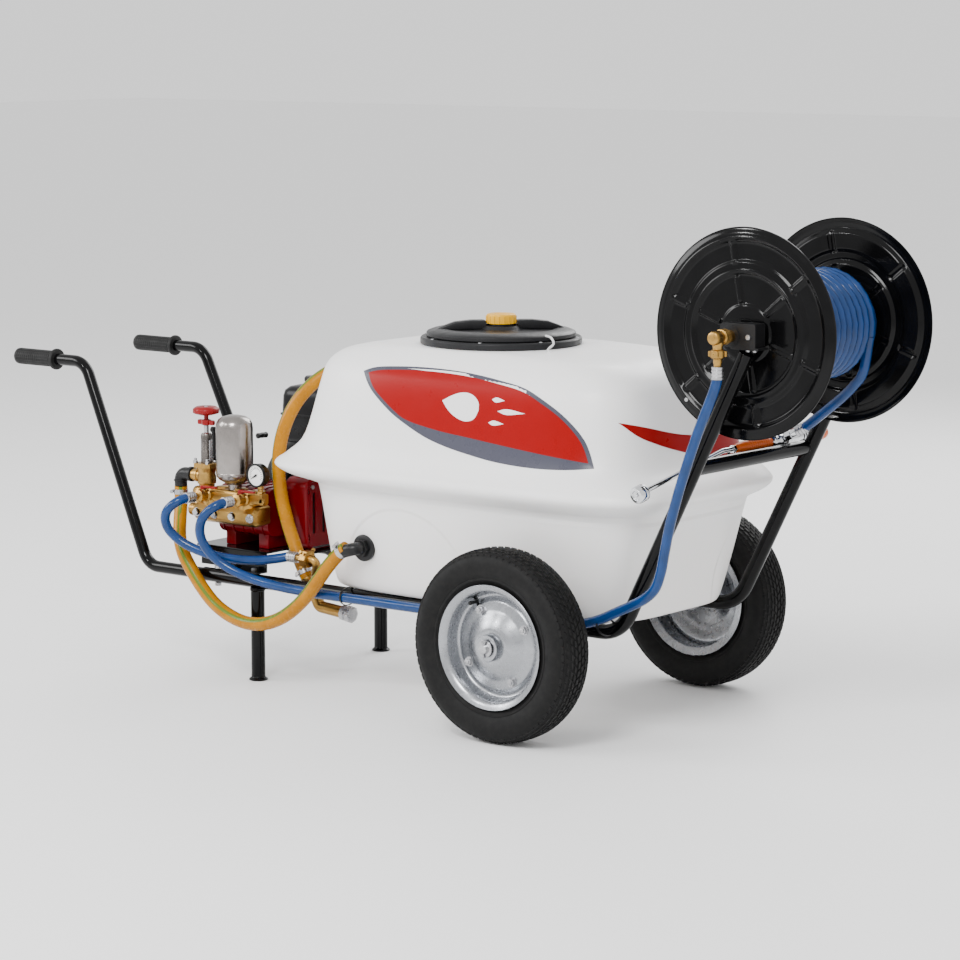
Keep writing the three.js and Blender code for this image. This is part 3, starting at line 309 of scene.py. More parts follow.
class Shape:
    """Shells in millimetres that become one Blender object."""

    def __init__(self):
        self.verts, self.faces, self.marks = [], [], []

    def add(self, verts, faces, mark=0):
        start = len(self.verts)
        self.verts += [Vector(v) for v in verts]
        self.faces += [[start + i for i in face] for face in faces]
        self.marks += [mark] * len(faces)
        return self

    def rings(self, rings, closed=True, caps=True, mark=0):
        """A skin over rings that have equal numbers of points. Caps are closed by a face at each end."""
        first_cap, last_cap = caps if isinstance(caps, tuple) else (caps, caps)
        n = len(rings[0])
        faces = []
        for k in range(len(rings) - 1):
            for i in range(n if closed else n - 1):
                j = (i + 1) % n
                faces.append((k * n + i, k * n + j, (k + 1) * n + j, (k + 1) * n + i))
        if first_cap:
            faces.append(tuple(range(n)))
        if last_cap:
            faces.append(tuple(range((len(rings) - 1) * n, len(rings) * n)))
        return self.add([p for ring in rings for p in ring], faces, mark)

    def lathe(self, direction, profile, origin=(0, 0, 0), segments=48, mark=0, caps=True):
        """A turned form. The profile lists (radius, place along the direction)."""
        along = Vector(AXES[direction] if isinstance(direction, str) else direction).normalized()
        first, second = across(along)
        angles = [2 * math.pi * i / segments for i in range(segments)]
        rings = []
        for radius, t in profile:
            centre, reach = Vector(origin) + along * t, max(radius, 0.001)
            rings.append([centre + (first * math.cos(a) + second * math.sin(a)) * reach for a in angles])
        is_open = caps and profile[0] != profile[-1]
        return self.rings(rings, caps=(is_open and profile[0][0] > 0, is_open and profile[-1][0] > 0),
                          mark=mark)

    def rod(self, start, end, radius, sides=24, mark=0, nose=0.0):
        start, end = Vector(start), Vector(end)
        length = (end - start).length
        profile = [(radius, 0), (radius, length)]
        if nose:
            profile = [(radius - nose, 0), (radius, nose), (radius, length - nose), (radius - nose, length)]
        return self.lathe(end - start, profile, start, sides, mark)

    def block(self, low, high, mark=0):
        x, y, z = zip(low, high)
        corners = [(x[i], y[j], z[k]) for i in (0, 1) for j in (0, 1) for k in (0, 1)]
        faces = [(0, 1, 3, 2), (4, 6, 7, 5), (0, 4, 5, 1), (2, 3, 7, 6), (0, 2, 6, 4), (1, 5, 7, 3)]
        return self.add(corners, faces, mark)

    def prism(self, outline, x0, x1, mark=0):
        """An outline of (y, z) points, extruded along X."""
        return self.rings([[(x, y, z) for y, z in outline] for x in (x0, x1)], mark=mark)

    def tube(self, path, radius, sides=20, mark=0):
        path = [Vector(p) for p in path]
        first, _ = across(path[1] - path[0])
        rings = []
        for i, p in enumerate(path):
            heading = (path[min(i + 1, len(path) - 1)] - path[max(i - 1, 0)]).normalized()
            first = (first - heading * first.dot(heading)).normalized()
            second = heading.cross(first)
            angles = [2 * math.pi * k / sides for k in range(sides)]
            rings.append([p + (first * math.cos(a) + second * math.sin(a)) * radius for a in angles])
        return self.rings(rings, mark=mark)

    def build(self, name, body, slot, finishes, replaces=(), bevel=0.5, angle=38, subdivide=0):
        mesh = bpy.data.meshes.new(name)
        mesh.from_pydata([point(v) for v in self.verts], [], self.faces)
        finishes = finishes if isinstance(finishes, list) else [finishes]
        for finish in finishes:
            mesh.materials.append(finish.material)
        mesh.polygons.foreach_set("material_index", self.marks)
        work = bmesh.new()
        work.from_mesh(mesh)
        bmesh.ops.remove_doubles(work, verts=work.verts, dist=0.00002)
        bmesh.ops.recalc_face_normals(work, faces=work.faces)
        work.to_mesh(mesh)
        work.free()
        mesh.shade_smooth()
        piece = bpy.data.objects.new(name, mesh)
        bpy.context.scene.collection.objects.link(piece)
        if subdivide:
            piece.modifiers.new("smooth", "SUBSURF").render_levels = subdivide
        if bevel:
            rounding = piece.modifiers.new("rounding", "BEVEL")
            rounding.width = bevel * MM
            rounding.segments = 2
            rounding.limit_method = "ANGLE"
            rounding.angle_limit = math.radians(angle)
            rounding.harden_normals = True
        else:
            mesh.set_sharp_from_angle(angle=math.radians(angle))
        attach(piece, body)
        if replaces:
            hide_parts(*([replaces] if isinstance(replaces, str) else replaces))
        return piece


def smooth_path(points, spacing=6.0):
    """A centripetal Catmull-Rom curve through points, in steps of about the given length."""
    pts = [Vector(p) for p in points]
    pts = [pts[0] * 2 - pts[1], *pts, pts[-1] * 2 - pts[-2]]
    path = [pts[1].copy()]
    for p0, p1, p2, p3 in zip(pts, pts[1:], pts[2:], pts[3:]):
        t1 = math.sqrt((p1 - p0).length)
        t2 = t1 + math.sqrt((p2 - p1).length)
        t3 = t2 + math.sqrt((p3 - p2).length)
        steps = max(2, round((p2 - p1).length / spacing))
        for k in range(1, steps + 1):
            t = t1 + (t2 - t1) * k / steps
            a1 = p0.lerp(p1, t / t1)
            a2 = p1.lerp(p2, (t - t1) / (t2 - t1))
            a3 = p2.lerp(p3, (t - t2) / (t3 - t2))
            b1 = a1.lerp(a2, t / t2)
            b2 = a2.lerp(a3, (t - t1) / (t3 - t1))
            path.append(b1.lerp(b2, (t - t1) / (t2 - t1)))
    return path


def filleted(corners, radius, steps=8):
    """A polyline with each inner corner rounded to a radius."""
    pts = [Vector(c) for c in corners]
    path = [pts[0]]
    for before, corner, after in zip(pts, pts[1:], pts[2:]):
        back, ahead = (before - corner).normalized(), (after - corner).normalized()
        half = back.angle(ahead) / 2
        centre = corner + (back + ahead).normalized() * radius / math.sin(half)
        arm = corner + back * radius / math.tan(half) - centre
        end = corner + ahead * radius / math.tan(half) - centre
        turn = max(arm.angle(end), 1e-4)
        for k in range(steps + 1):
            t = turn * k / steps
            path.append(centre + (arm * math.sin(turn - t) + end * math.sin(t)) / math.sin(turn))
    return [*path, pts[-1]]


def rounded(y0, y1, z0, z1, radius, steps=6):
    """The (y, z) outline of a rectangle with round corners."""
    outline = []
    corners = [(y1 - radius, z0 + radius, -90), (y1 - radius, z1 - radius, 0),
               (y0 + radius, z1 - radius, 90), (y0 + radius, z0 + radius, 180)]
    for y, z, start in corners:
        for k in range(steps + 1):
            a = math.radians(start + 90 * k / steps)
            outline.append((y + radius * math.cos(a), z + radius * math.sin(a)))
    return outline


def circle_points(count, phase=0.0):
    return [(math.cos(a), math.sin(a)) for a in (2 * math.pi * (i + phase) / count for i in range(count))]


SIDES = (("right", -1), ("left", 1))


# ---------------------------------------------------------------- hoses

BLUE, YELLOW = 19, 27         # outside diameters

BYPASS_ROUTE = [
    (-942, -172, 369.2), (-942, -172, 357), (-939, -176, 332), (-929, -190, 302), (-914, -207, 273),
    (-894, -219, 244), (-868, -223, 212), (-838, -225, 180), (-802, -227, 151), (-760, -229, 132),
    (-712, -232, 123), (-664, -235, 127), (-618, -238, 143), (-577, -241, 168), (-541, -243, 199),
    (-511, -245, 232), (-484, -246, 263), (-463, -246, 284), (-447.9, -246, 296.9), (-437.8, -246, 303.5),
]

FILL_ROUTE = [
    (-622.4, -150, 211.7), (-628.8, -150, 221.9), (-640, -149, 240), (-654, -147, 266), (-669, -146, 297),
    (-682, -146, 331), (-693, -146, 369), (-700, -145, 409), (-703, -141, 449), (-700, -134, 489),
    (-690, -124, 528), (-675, -110, 562), (-656, -93, 590), (-636, -75, 610), (-622, -63.5, 619),
    (-608, -52.5, 622), (-598.4, -45.3, 622),
]

JET_ROUTE = [
    (-852, -238.8, 362), (-852, -251, 362), (-856, -265, 359), (-866, -275, 351), (-878, -280, 338),
    (-885, -279, 321), (-884, -274, 303), (-874, -267, 287), (-856, -258, 272), (-831, -248, 260),
    (-801, -237, 251), (-767, -226, 246), (-731, -213, 244), (-696, -198, 246), (-666, -186, 251),
    (-641, -178, 256), (-628.8, -178, 256),
]

REEL_FEED_ROUTE = [
    (-750, -238.8, 362), (-750, -251, 362), (-756, -266, 358), (-769, -276, 347), (-783, -280, 330),
    (-792, -278, 309), (-793, -272, 287), (-785, -264, 266), (-769, -255, 247), (-746, -245, 231),
    (-715, -235, 218), (-676, -228, 209), (-628, -223, 203), (-570, -220, 200), (-500, -218, 199),
    (-420, -217, 199), (-330, -217, 199), (-240, -217, 200), (-150, -217, 202), (-70, -217, 205),
    (0, -217, 207), (60, -217, 210), (110, -219, 217), (150, -222, 230), (186, -224, 247),
    (220, -226, 263), (252, -229, 280), (277, -232, 302), (291, -235, 332), (301, -238, 370),
    (314, -241, 420), (333, -244, 478), (355, -246, 538), (379, -246.3, 600), (399, -246.3, 645),
    (411, -246.3, 674), (415.6, -246.3, 691), (416, -246.3, 703),
]

REEL_TAIL_ROUTE = [
    (501.5, 109, 689), (489.5, 112, 671.5), (471, 116, 651), (448, 120, 630), (420, 126, 609),
    (391, 133, 589), (364, 138.5, 570), (346.5, 140.9, 558.6), (336.3, 137.6, 553.1),
]

REEL_X, REEL_Z = 416, 762
LAYER_RADII = (54.6, 73.7, 92.8)
WINDING_HALF = 141.5          # reach of the outermost turn's middle from the centre of the drum
TURN_PITCH = 19.4
TAIL_LEAVES = math.radians(-12)   # where the tail leaves the top layer, seen from the right


def winding_path(steps=24):
    """Three layers of turns on the drum: out to the left, back, and out again to where the tail leaves."""
    tail_y = REEL_TAIL_ROUTE[0][1] - 2
    ends = ((-WINDING_HALF, WINDING_HALF), (WINDING_HALF, -WINDING_HALF), (-WINDING_HALF, tail_y))
    turns = [abs(b - a) / TURN_PITCH for a, b in ends]
    rise = 0.6                    # share of a turn taken to climb to the next layer
    total = sum(turns) + 2 * rise
    angle = TAIL_LEAVES + 2 * math.pi * total
    path = []
    for layer, ((y0, y1), count) in enumerate(zip(ends, turns)):
        samples = round(count * steps)
        for k in range(samples + 1):
            a = angle - 2 * math.pi * count * k / samples
            path.append(on_reel(LAYER_RADII[layer], a, y0 + (y1 - y0) * k / samples))
        angle -= 2 * math.pi * count
        if layer < 2:
            climb = round(rise * steps)
            for k in range(1, climb):
                share = k / climb
                ease = share * share * (3 - 2 * share)
                radius = LAYER_RADII[layer] + (LAYER_RADII[layer + 1] - LAYER_RADII[layer]) * ease
                path.append(on_reel(radius, angle - 2 * math.pi * rise * share, y1))
            angle -= 2 * math.pi * rise
    return path


def on_reel(radius, angle, y):
    return Vector((REEL_X + radius * math.cos(angle), y, REEL_Z + radius * math.sin(angle)))


def add_cord(name, path, diameter, finish, slot, replaces, body="frame", **facts):
    curve = bpy.data.curves.new(name, "CURVE")
    curve.dimensions = "3D"
    curve.bevel_depth = diameter / 2 * MM
    curve.bevel_resolution = 4
    curve.use_fill_caps = True
    spline = curve.splines.new("POLY")
    spline.points.add(len(path) - 1)
    for target, p in zip(spline.points, path):
        target.co = (*point(p), 1)
    spline.use_smooth = True
    curve.materials.append(finish.material)
    piece = bpy.data.objects.new(name, curve)
    bpy.context.scene.collection.objects.link(piece)
    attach(piece, body)
    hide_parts(replaces)
    return piece


def add_striped_hose(name, route, replaces):
    """A mesh tube, so that its green stripe can follow one edge of it."""
    path = smooth_path(route)
    shape = Shape().tube(path, YELLOW / 2, 24)
    piece = shape.build(name, "frame", "yellow_hose", YELLOW_HOSE, replaces, bevel=0)
    stripe = piece.data.attributes.new("stripe", "FLOAT", "POINT")
    heights = [0.0] * len(piece.data.vertices)
    for i, p in enumerate(path):
        heading = (path[min(i + 1, len(path) - 1)] - path[max(i - 1, 0)]).normalized()
        outward = AXES["y"] * -1 - heading * heading.dot(AXES["y"] * -1)
        outward = (outward.normalized() + heading.cross(outward).normalized() * -0.75).normalized()
        for k in range(24):
            radial = (point(shape.verts[i * 24 + k]) - point(p)).normalized()
            heights[i * 24 + k] = 1.0 if radial.dot(outward) > 0.975 else 0.0
    stripe.data.foreach_set("value", heights)


def add_clamp(name, at, direction, radius, screw):
    """A worm-drive band round a hose end, with its screw housing on the side that screw points to."""
    direction, screw = Vector(direction).normalized(), Vector(screw)
    screw = (screw - direction * screw.dot(direction)).normalized()
    inner, outer = radius + 0.1, radius + 1.1
    band = Shape().lathe(direction, [(inner, -5), (outer, -5), (outer, 5), (inner, 5), (inner, -5)], at, 40)
    housing = Vector(at) + screw * (radius + 3.5)
    side = direction.cross(screw)
    band.rod(housing - side * 7, housing + side * 8, 3.4, 12, nose=0.6)
    band.rod(housing + side * 8, housing + side * 11, 3.9, 6)
    band.build(name, "frame", "zinc", STEEL, bevel=0.3)


def add_ferrule(name, at, direction, radius):
    """A crimped sleeve on the end of a high-pressure hose."""
    rings = [(radius + 0.2, 0), (radius + 1.5, 1)]
    for k in range(3):
        rings += [(radius + 1.5, 3 + k * 6), (radius + 0.7, 4.5 + k * 6), (radius + 0.7, 6 + k * 6),
                  (radius + 1.5, 7 + k * 6)]
    rings += [(radius + 1.5, 23), (radius - 2, 24)]
    Shape().lathe(direction, rings, at, 32).build(name, "frame", "zinc", STEEL, bevel=0.2)


def add_hoses():
    loose = {"far_end": "object", "stiffness": "medium"}
    blue = (BLUE, BLUE_HOSE, "blue_hose")
    add_cord("wound_hose", winding_path(), *blue, "hose_winding", body="reel", lay="coiled", **loose)
    end = on_reel(LAYER_RADII[2], TAIL_LEAVES, REEL_TAIL_ROUTE[0][1] - 2)
    tail = smooth_path([end, *REEL_TAIL_ROUTE[1:]])
    add_cord("gun_hose", tail, *blue, "reel_tail_hose", lay="hanging", **loose)
    add_cord("jet_feed_hose", smooth_path(JET_ROUTE), *blue, "jet_hose", lay="hanging", **loose)
    add_cord("reel_supply_hose", smooth_path(REEL_FEED_ROUTE), *blue, "reel_feed_hose", lay="hanging",
             **loose)
    add_striped_hose("return_hose", BYPASS_ROUTE, "bypass_hose")
    add_striped_hose("filling_hose", FILL_ROUTE, "fill_hose")
    back = (0, -1, 0)
    for name, x in (("jet", -852), ("reel", -750)):
        add_ferrule(f"{name}_hose_sleeve", (x, -231, 362), back, BLUE / 2)
    add_ferrule("jet_hose_far_sleeve", (-622, -178, 256), (-1, 0, 0), BLUE / 2)
    add_ferrule("swivel_hose_sleeve", (416, -246.3, 712), (0, 0, -1), BLUE / 2)
    tail_end = Vector(REEL_TAIL_ROUTE[-1])
    heading = (Vector(REEL_TAIL_ROUTE[-2]) - tail_end).normalized()
    add_ferrule("gun_hose_sleeve", tail_end - heading * 3, heading, BLUE / 2)
    add_clamp("return_hose_clamp", (-942, -172, 358), (0, 0, 1), YELLOW / 2, (-1, -0.4, 0))
    tank_end = Vector(BYPASS_ROUTE[-1]) - Vector(BYPASS_ROUTE[-2])
    add_clamp("return_hose_far_clamp", Vector(BYPASS_ROUTE[-1]) - tank_end.normalized() * 14, tank_end,
              YELLOW / 2, (-0.6, -0.5, 1))
    rise = Vector(FILL_ROUTE[1]) - Vector(FILL_ROUTE[0])
    add_clamp("filling_hose_clamp", Vector(FILL_ROUTE[0]) + rise.normalized() * 14, rise, YELLOW / 2,
              (-1, -1, 0))
    inlet = Vector(FILL_ROUTE[-1]) - Vector(FILL_ROUTE[-2])
    add_clamp("filling_hose_far_clamp", Vector(FILL_ROUTE[-1]) - inlet.normalized() * 12, inlet, YELLOW / 2,
              (0, -0.3, 1))


add_hoses()


# ---------------------------------------------------------------- frame, legs and handles

RAIL_Y, RAIL_Z, RAIL_REAR = 190, 200, -862
UPRIGHT_TOP = (439, 732)
TUBE_R, HANDLE_R = 14, 12
LEG_X = -719


def add_frame():
    for name, side in SIDES:
        y = side * RAIL_Y
        rail = Shape().tube(filleted([(RAIL_REAR, y, RAIL_Z), (172, y, RAIL_Z),
                                      (UPRIGHT_TOP[0], y, UPRIGHT_TOP[1])], 70),
                            TUBE_R, 32)
        rail.build(f"rail_tube_{name}", "frame", "black_paint", BLACK_PAINT, f"frame_rail_{name}", bevel=0.8)
        leg = Shape().lathe("z", [(17, 0), (19, 1), (19, 3), (17, 5), (14.5, 7), (14, 9), (14, 187)],
                            (LEG_X, y, 0), 32)
        weld = [(15.4 + 0.5 * math.sin(k * 2.1), 182 + k) for k in range(5)]
        leg.lathe("z", [(14, 180), *weld, (14, 188)], (LEG_X, y, 0), 32)
        leg.build(f"leg_tube_{name}", "frame", "black_paint", BLACK_PAINT, f"leg_{name}", bevel=0.3)
        add_handle(name, side)
    add_crossbar()
    add_cable_ties()


def add_handle(name, side):
    y, top_y = side * RAIL_Y, side * 178
    corners = [(-1398, top_y, 605), (-1205, top_y, 605), (-1020, y, RAIL_Z), (-782, y, RAIL_Z)]
    handle = Shape().tube(filleted(corners, 45), HANDLE_R, 28)
    x = RAIL_REAR + 36
    handle.rod((x, y, RAIL_Z - 21), (x, y, RAIL_Z + 20), 4, 16)
    for z0, z1 in ((-20.5, -14.7), (14.7, 20.5)):
        handle.rod((x, y, RAIL_Z + z0), (x, y, RAIL_Z + z1), 7, 6, mark=1)
    handle.build(f"handle_tube_{name}", "frame", "black_paint", [BLACK_PAINT, STEEL], f"handle_{name}",
                 bevel=0.5)

    end = -1402
    profile = [(8, end), (14, end + 1), (16.5, end + 4)]
    for k in range(17):
        t = end + 8 + k * 5.8
        profile += [(16.9, t), (16.9, t + 3.6), (15.4, t + 4.2), (15.4, t + 5.2)]
    profile += [(17, end + 107), (17.5, end + 109), (21.5, end + 111), (22, end + 113), (22, end + 116),
                (20.5, end + 118), (12.5, end + 118)]
    grip = Shape().lathe("x", profile, (0, top_y, 605), 48)
    for c, s in circle_points(16):
        offset = Vector((0, c * 16.4, s * 16.4))
        start = Vector((end + 8, top_y, 605)) + offset
        grip.rod(start, start + Vector((96, 0, 0)), 0.9, 6)
    grip.build(f"ribbed_grip_{name}", "frame", "grip_rubber", GRIP_RUBBER, f"grip_{name}", bevel=0.3)


def add_crossbar():
    x, z = 325, 517
    bar = Shape().rod((x, -180, z), (x, 180, z), TUBE_R, 32)
    for side in (-1, 1):
        bar.lathe("y", [(14, side * 176), (15.5, side * 177), (15.5, side * 179), (14, side * 181)],
                  (x, 0, z), 32)
    for y in (-10, 75):
        path = [(x, y, z - 2), (x - 40, y, z - 3), (x - 44, y, z + 2), (x - 44, y, z + 17)]
        bar.tube(filleted(path[:1] + [path[1], path[3]], 3), 2.9, 12)
    bar.build("gun_rest_bar", "frame", "black_paint", BLACK_PAINT, "crossbar", bevel=0.4)


def add_cable_ties():
    """Ties that hold the reel's supply hose to the near rail and upright."""
    ties = Shape()
    places = [((-470, -204, 200), (1, 0, 0), 25), ((-60, -204, 202), (1, 0, 0), 25),
              ((150, -206, 214), (0.8, 0, 0.45), 27)]
    for at, direction, reach in places:
        along = Vector(direction).normalized()
        first, second = across(along)
        loop = [Vector(at) + first * (c * reach) + second * (s * (TUBE_R + 4)) for c, s in circle_points(40)]
        rings = [[p + along * w for p in loop] for w in (-2, 2)]
        inner = [[Vector(at) + (p - Vector(at)) * 0.95 + along * w for p in loop] for w in (2, -2)]
        ties.rings([*rings, *inner, rings[0]], caps=False)
    ties.build("hose_ties", "frame", "black_plastic", BLACK_PLASTIC, bevel=0)


# ---------------------------------------------------------------- engine plate

def add_engine_plate():
    top, sheet, half = 256, 4, 172
    plate = Shape()
    plate.block((-900, -112, top - sheet), (-640, half, top))
    plate.block((-900, -half, top - sheet), (-712, -112, top))
    for _, side in SIDES:
        outer, inner = side * half, side * (half - sheet)
        wall_front = -712 if side < 0 else -640
        plate.block((-888, min(outer, inner), 216), (wall_front, max(outer, inner), top))
        reach = side * (RAIL_Y + 8)
        plate.block((-810, min(inner, reach), 214.4), (wall_front, max(inner, reach), 218.4))
        for x in (-795, -735):
            plate.rod((x, side * 183, 218), (x, side * 183, 224), 6, 6, mark=1)
    plate.build("pump_shelf", "frame", "black_paint", [BLACK_PAINT, STEEL], "engine_plate", bevel=0.8)


# ---------------------------------------------------------------- wheels

TRACK = 325
AXLE_Z = 180


def tread_block(shape, angle, y, length, width, low, high, skew=0.0):
    """A tapered rubber block on the tread, centred at an angle round the wheel."""
    corners = []
    for radius, inset in ((low, 0), (high, 1.0)):
        for sy in (-1, 1):
            for sa in (-1, 1):
                reach = (length / 2 - inset) * sa + skew * sy
                a = angle + reach / radius
                corners.append((radius * math.cos(a), y + (width / 2 - inset) * sy, radius * math.sin(a)))
    faces = [(0, 1, 3, 2), (4, 6, 7, 5), (0, 4, 5, 1), (2, 3, 7, 6), (0, 2, 6, 4), (1, 5, 7, 3)]
    origin = Vector((0, shape.centre_y, AXLE_Z))
    shape.add([Vector(c) + origin for c in corners], faces)


def add_tyre(name, side):
    tyre = Shape()
    tyre.centre_y = side * TRACK
    half = [(105, 28), (112, 30), (122, 34), (124, 36.4), (127, 36.6), (128, 35.8), (134, 39), (142, 42),
            (150, 43.2), (158, 42.4), (166, 39.2), (172, 34), (176, 25), (177.6, 12)]
    profile = [*half, *[(r, -t) for r, t in reversed(half)], half[0]]
    tyre.lathe("y", profile, (0, side * TRACK, AXLE_Z), 104)
    pitch = 2 * math.pi / 72
    rows = ((0, 176.4, 179.8), (9.8, 176, 179.7), (19.4, 174.4, 178.6), (28.4, 171.4, 175.8),
            (35.4, 166.5, 171.4))
    for i in range(72):
        for row, (y, low, high) in enumerate(rows):
            for sign in ((1,) if row == 0 else (-1, 1)):
                tread_block(tyre, (i + 0.5 * (row % 2)) * pitch, sign * y, 13.2, 8.2 - 0.5 * row, low, high,
                            skew=2 * sign)
    tyre.build(f"block_tread_tyre_{name}", f"wheel_{name}", "tyre_rubber", TYRE_RUBBER, f"tyre_{name}",
               bevel=0, angle=32)


def add_rim(name, side):
    out = Vector((0, side, 0))
    centre = (0, side * TRACK, AXLE_Z)
    dish = [(22, 30), (30, 31), (36, 29.5), (45, 25), (55, 19.5), (62, 15), (67, 12.3), (80, 11.3), (83, 10),
            (87, 5.5),
            (91, 3), (94, 3), (97, 5), (98.5, 9), (99.5, 20), (100.5, 27), (102, 31), (106, 34.5),
            (110, 36.3),
            (115, 38.3), (116.3, 37), (114, 34), (108, 32), (104, 28), (102.7, 22), (102, 8), (99, 2),
            (94, 0),
            (88, 0), (80, 8), (66, 9), (55, 16), (40, 24), (30, 28), (22, 27), (22, 30)]
    rim = Shape().lathe(out, dish, centre, 96)
    inward = [(103, 4), (103, -28), (105, -31.5), (114, -34), (116.3, -37), (115, -38.3), (101, -33),
              (99.5, -28),
              (99.5, 4), (103, 4)]
    rim.lathe(out, inward, centre, 96)
    hub = [(10, -44), (24, -44), (25, -43), (25, 6), (25, 42), (24, 44), (15, 44), (14, 34), (10, 34),
           (10, -44)]
    rim.lathe(out, hub, centre, 48)
    for c, s in circle_points(4, 1 / 3):
        at = Vector((73 * c, side * (TRACK + 10), AXLE_Z + 73 * s))
        rim.rod(at, at + out * 3, 9, 24, mark=1)
        rim.rod(at + out * 2.8, at + out * 9, 7.6, 6, mark=1)
        rim.rod(at + out * 8.5, at + out * 11.5, 4.2, 16, mark=1, nose=1)
    valve = Vector((92 * math.cos(2.2), side * (TRACK + 2), AXLE_Z + 92 * math.sin(2.2)))
    rim.rod(valve, valve + out * 16, 3.2, 16, mark=2)
    rim.rod(valve + out * 15, valve + out * 22, 3.8, 16, mark=2, nose=1)
    rim.build(f"pressed_rim_{name}", f"wheel_{name}", "zinc", [ZINC, STEEL, BLACK_PLASTIC], f"rim_{name}",
              bevel=0.3, angle=50)


def add_axle():
    end, collar = 381, 280
    axle = Shape().rod((0, -end, AXLE_Z), (0, end, AXLE_Z), 9, 32, nose=1.2)
    for _, side in SIDES:
        axle.lathe("y", [(9, side * (collar - 8)), (15, side * (collar - 8)), (15, side * collar),
                         (9, side * collar)],
                   (0, 0, AXLE_Z), 32)
        axle.lathe("y", [(9, side * 371), (16, side * 371.3), (16, side * 374), (9, side * 374.3)],
                   (0, 0, AXLE_Z), 32)
        pin = side * 377
        axle.tube([(0, pin, AXLE_Z - 17), (0, pin, AXLE_Z + 13)], 1.9, 12)
        loop = [(4 * c, pin, AXLE_Z + 12 + 4 * s) for c, s in circle_points(12)]
        axle.tube([*loop, loop[0]], 1.2, 8)
    axle.build("axle_bar", "frame", "zinc", STEEL, "axle", bevel=0.4)


# ---------------------------------------------------------------- tank

TANK_LEVELS = [
    (214.3, -545, 160, 190), (222, -560, 174, 204), (300, -574, 196, 217), (405, -588, 220, 233),
    (418, -600, 226, 240), (432, -650, 250, 266), (445, -676, 262, 276), (456, -674, 260, 275),
    (472, -650, 244, 266), (510, -612, 197, 250), (615, -583, 176, 228), (650, -573, 160, 214),
    (672, -548, 130, 195), (684, -505, 80, 180), (690, -450, -40, 168),
]
TANK_CORNER = 5               # exponent of the superellipse outline
LID_X = -253
NECK_R = 128
OUTLET = (-417, 302)          # x and z of the return fitting in the near wall


def eased_levels(per_step=5):
    """The tank's levels joined by a Catmull-Rom curve, so that its edges are rounded."""
    rows = [np.array(level, float) for level in TANK_LEVELS]
    rows = [2 * rows[0] - rows[1], *rows, 2 * rows[-1] - rows[-2]]
    eased = [rows[1]]
    for p0, p1, p2, p3 in zip(rows, rows[1:], rows[2:], rows[3:]):
        for k in range(1, per_step + 1):
            t = k / per_step
            eased.append(0.5 * (2 * p1 + (p2 - p0) * t + (2 * p0 - 5 * p1 + 4 * p2 - p3) * t * t
                                + (3 * p1 - p0 - 3 * p2 + p3) * t ** 3))
    return eased


def tank_ring(z, rear, front, half, count=176):
    centre, length = (rear + front) / 2, (front - rear) / 2
    ring = []
    for c, s in circle_points(count):
        reach = (abs(c) ** TANK_CORNER + abs(s) ** TANK_CORNER) ** (-1 / TANK_CORNER)
        ring.append((centre + length * c * reach, half * s * reach, z))
    return ring


def neck_ring(radius, z, count=176):
    """A circle round the mouth whose points face those of the tank's outline."""
    ring = []
    for x, y, _ in tank_ring(z, -450, -40, 168, count):
        a = math.atan2(y, x - LID_X)
        ring.append((LID_X + radius * math.cos(a), radius * math.sin(a), z))
    return ring


def add_tank():
    rings = [tank_ring(*level) for level in eased_levels()]
    rings += [neck_ring(r, z) for r, z in ((152, 690.5), (136, 690.8), (129, 691.5), (NECK_R, 694),
                                           (NECK_R, 702),
                                            (118, 702), (118, 640))]
    tank = Shape().rings(rings, mark=0)
    tip = Vector((-578, -30, 622)) + Vector((-0.8, -0.6, 0)) * 24
    tank.rod((-572, -25.5, 622), tip, 10, 28)
    tank.rod((-586, -30, 622), (-570, -30, 622), 18, 36, nose=3)
    piece = tank.build("moulded_tank", "frame", "tank_plastic", TANK_PLASTIC, "tank", bevel=0, angle=50)
    surface = BVHTree.FromPolygons([v.co for v in piece.data.vertices],
                                   [tuple(p.vertices) for p in piece.data.polygons])
    add_outlet()
    return surface


def add_outlet():
    x, z = OUTLET
    y = -216
    elbow = Shape()
    elbow.lathe("y", [(26, y + 1), (26, y - 4), (23, y - 6), (14, y - 6), (14, y - 2)], (x, 0, z), 40)
    elbow.rod((x, y - 6, z), (x, y - 16, z), 18, 6)
    start, bend, end = Vector((x, y - 10, z)), Vector((x, -246, z)), Vector((-437.8, -246, 303.5)) * 0.55
    end += Vector(BYPASS_ROUTE[-3]) * 0.45
    elbow.tube(filleted([start, bend + Vector((0, 0, 2)), end], 12), 12.5, 28)
    elbow.build("return_elbow", "frame", "black_plastic", BLACK_PLASTIC, "tank_elbow", bevel=0.6)


# ---------------------------------------------------------------- decals

def curve_at(points, s):
    """The point at share s along a smooth line through points."""
    path = smooth_path(points, 4)
    lengths = np.cumsum([0.0] + [(b - a).length for a, b in zip(path, path[1:])])
    where = s * lengths[-1]
    i = int(np.clip(np.searchsorted(lengths, where) - 1, 0, len(path) - 2))
    return path[i].lerp(path[i + 1], (where - lengths[i]) / max(lengths[i + 1] - lengths[i], 1e-6))


def sticker(shape, surface, top, bottom, look, lift, mark, columns=56, rows=10):
    """A film between two curves that share their ends, laid on the surface along the look direction."""
    look = Vector(look)
    grid = []
    for i in range(columns + 1):
        a, b = curve_at(top, i / columns), curve_at(bottom, i / columns)
        column = []
        for k in range(rows + 1):
            p = a.lerp(b, k / rows)
            hit, _, _, _ = surface.ray_cast(point(p - look * 300), look)
            hit = hit - look * (lift * MM)
            column.append(((hit.x - AXLE_X) / MM, hit.y / MM, hit.z / MM))
        grid.append(column)
    shape.rings(grid, closed=False, caps=False, mark=mark)


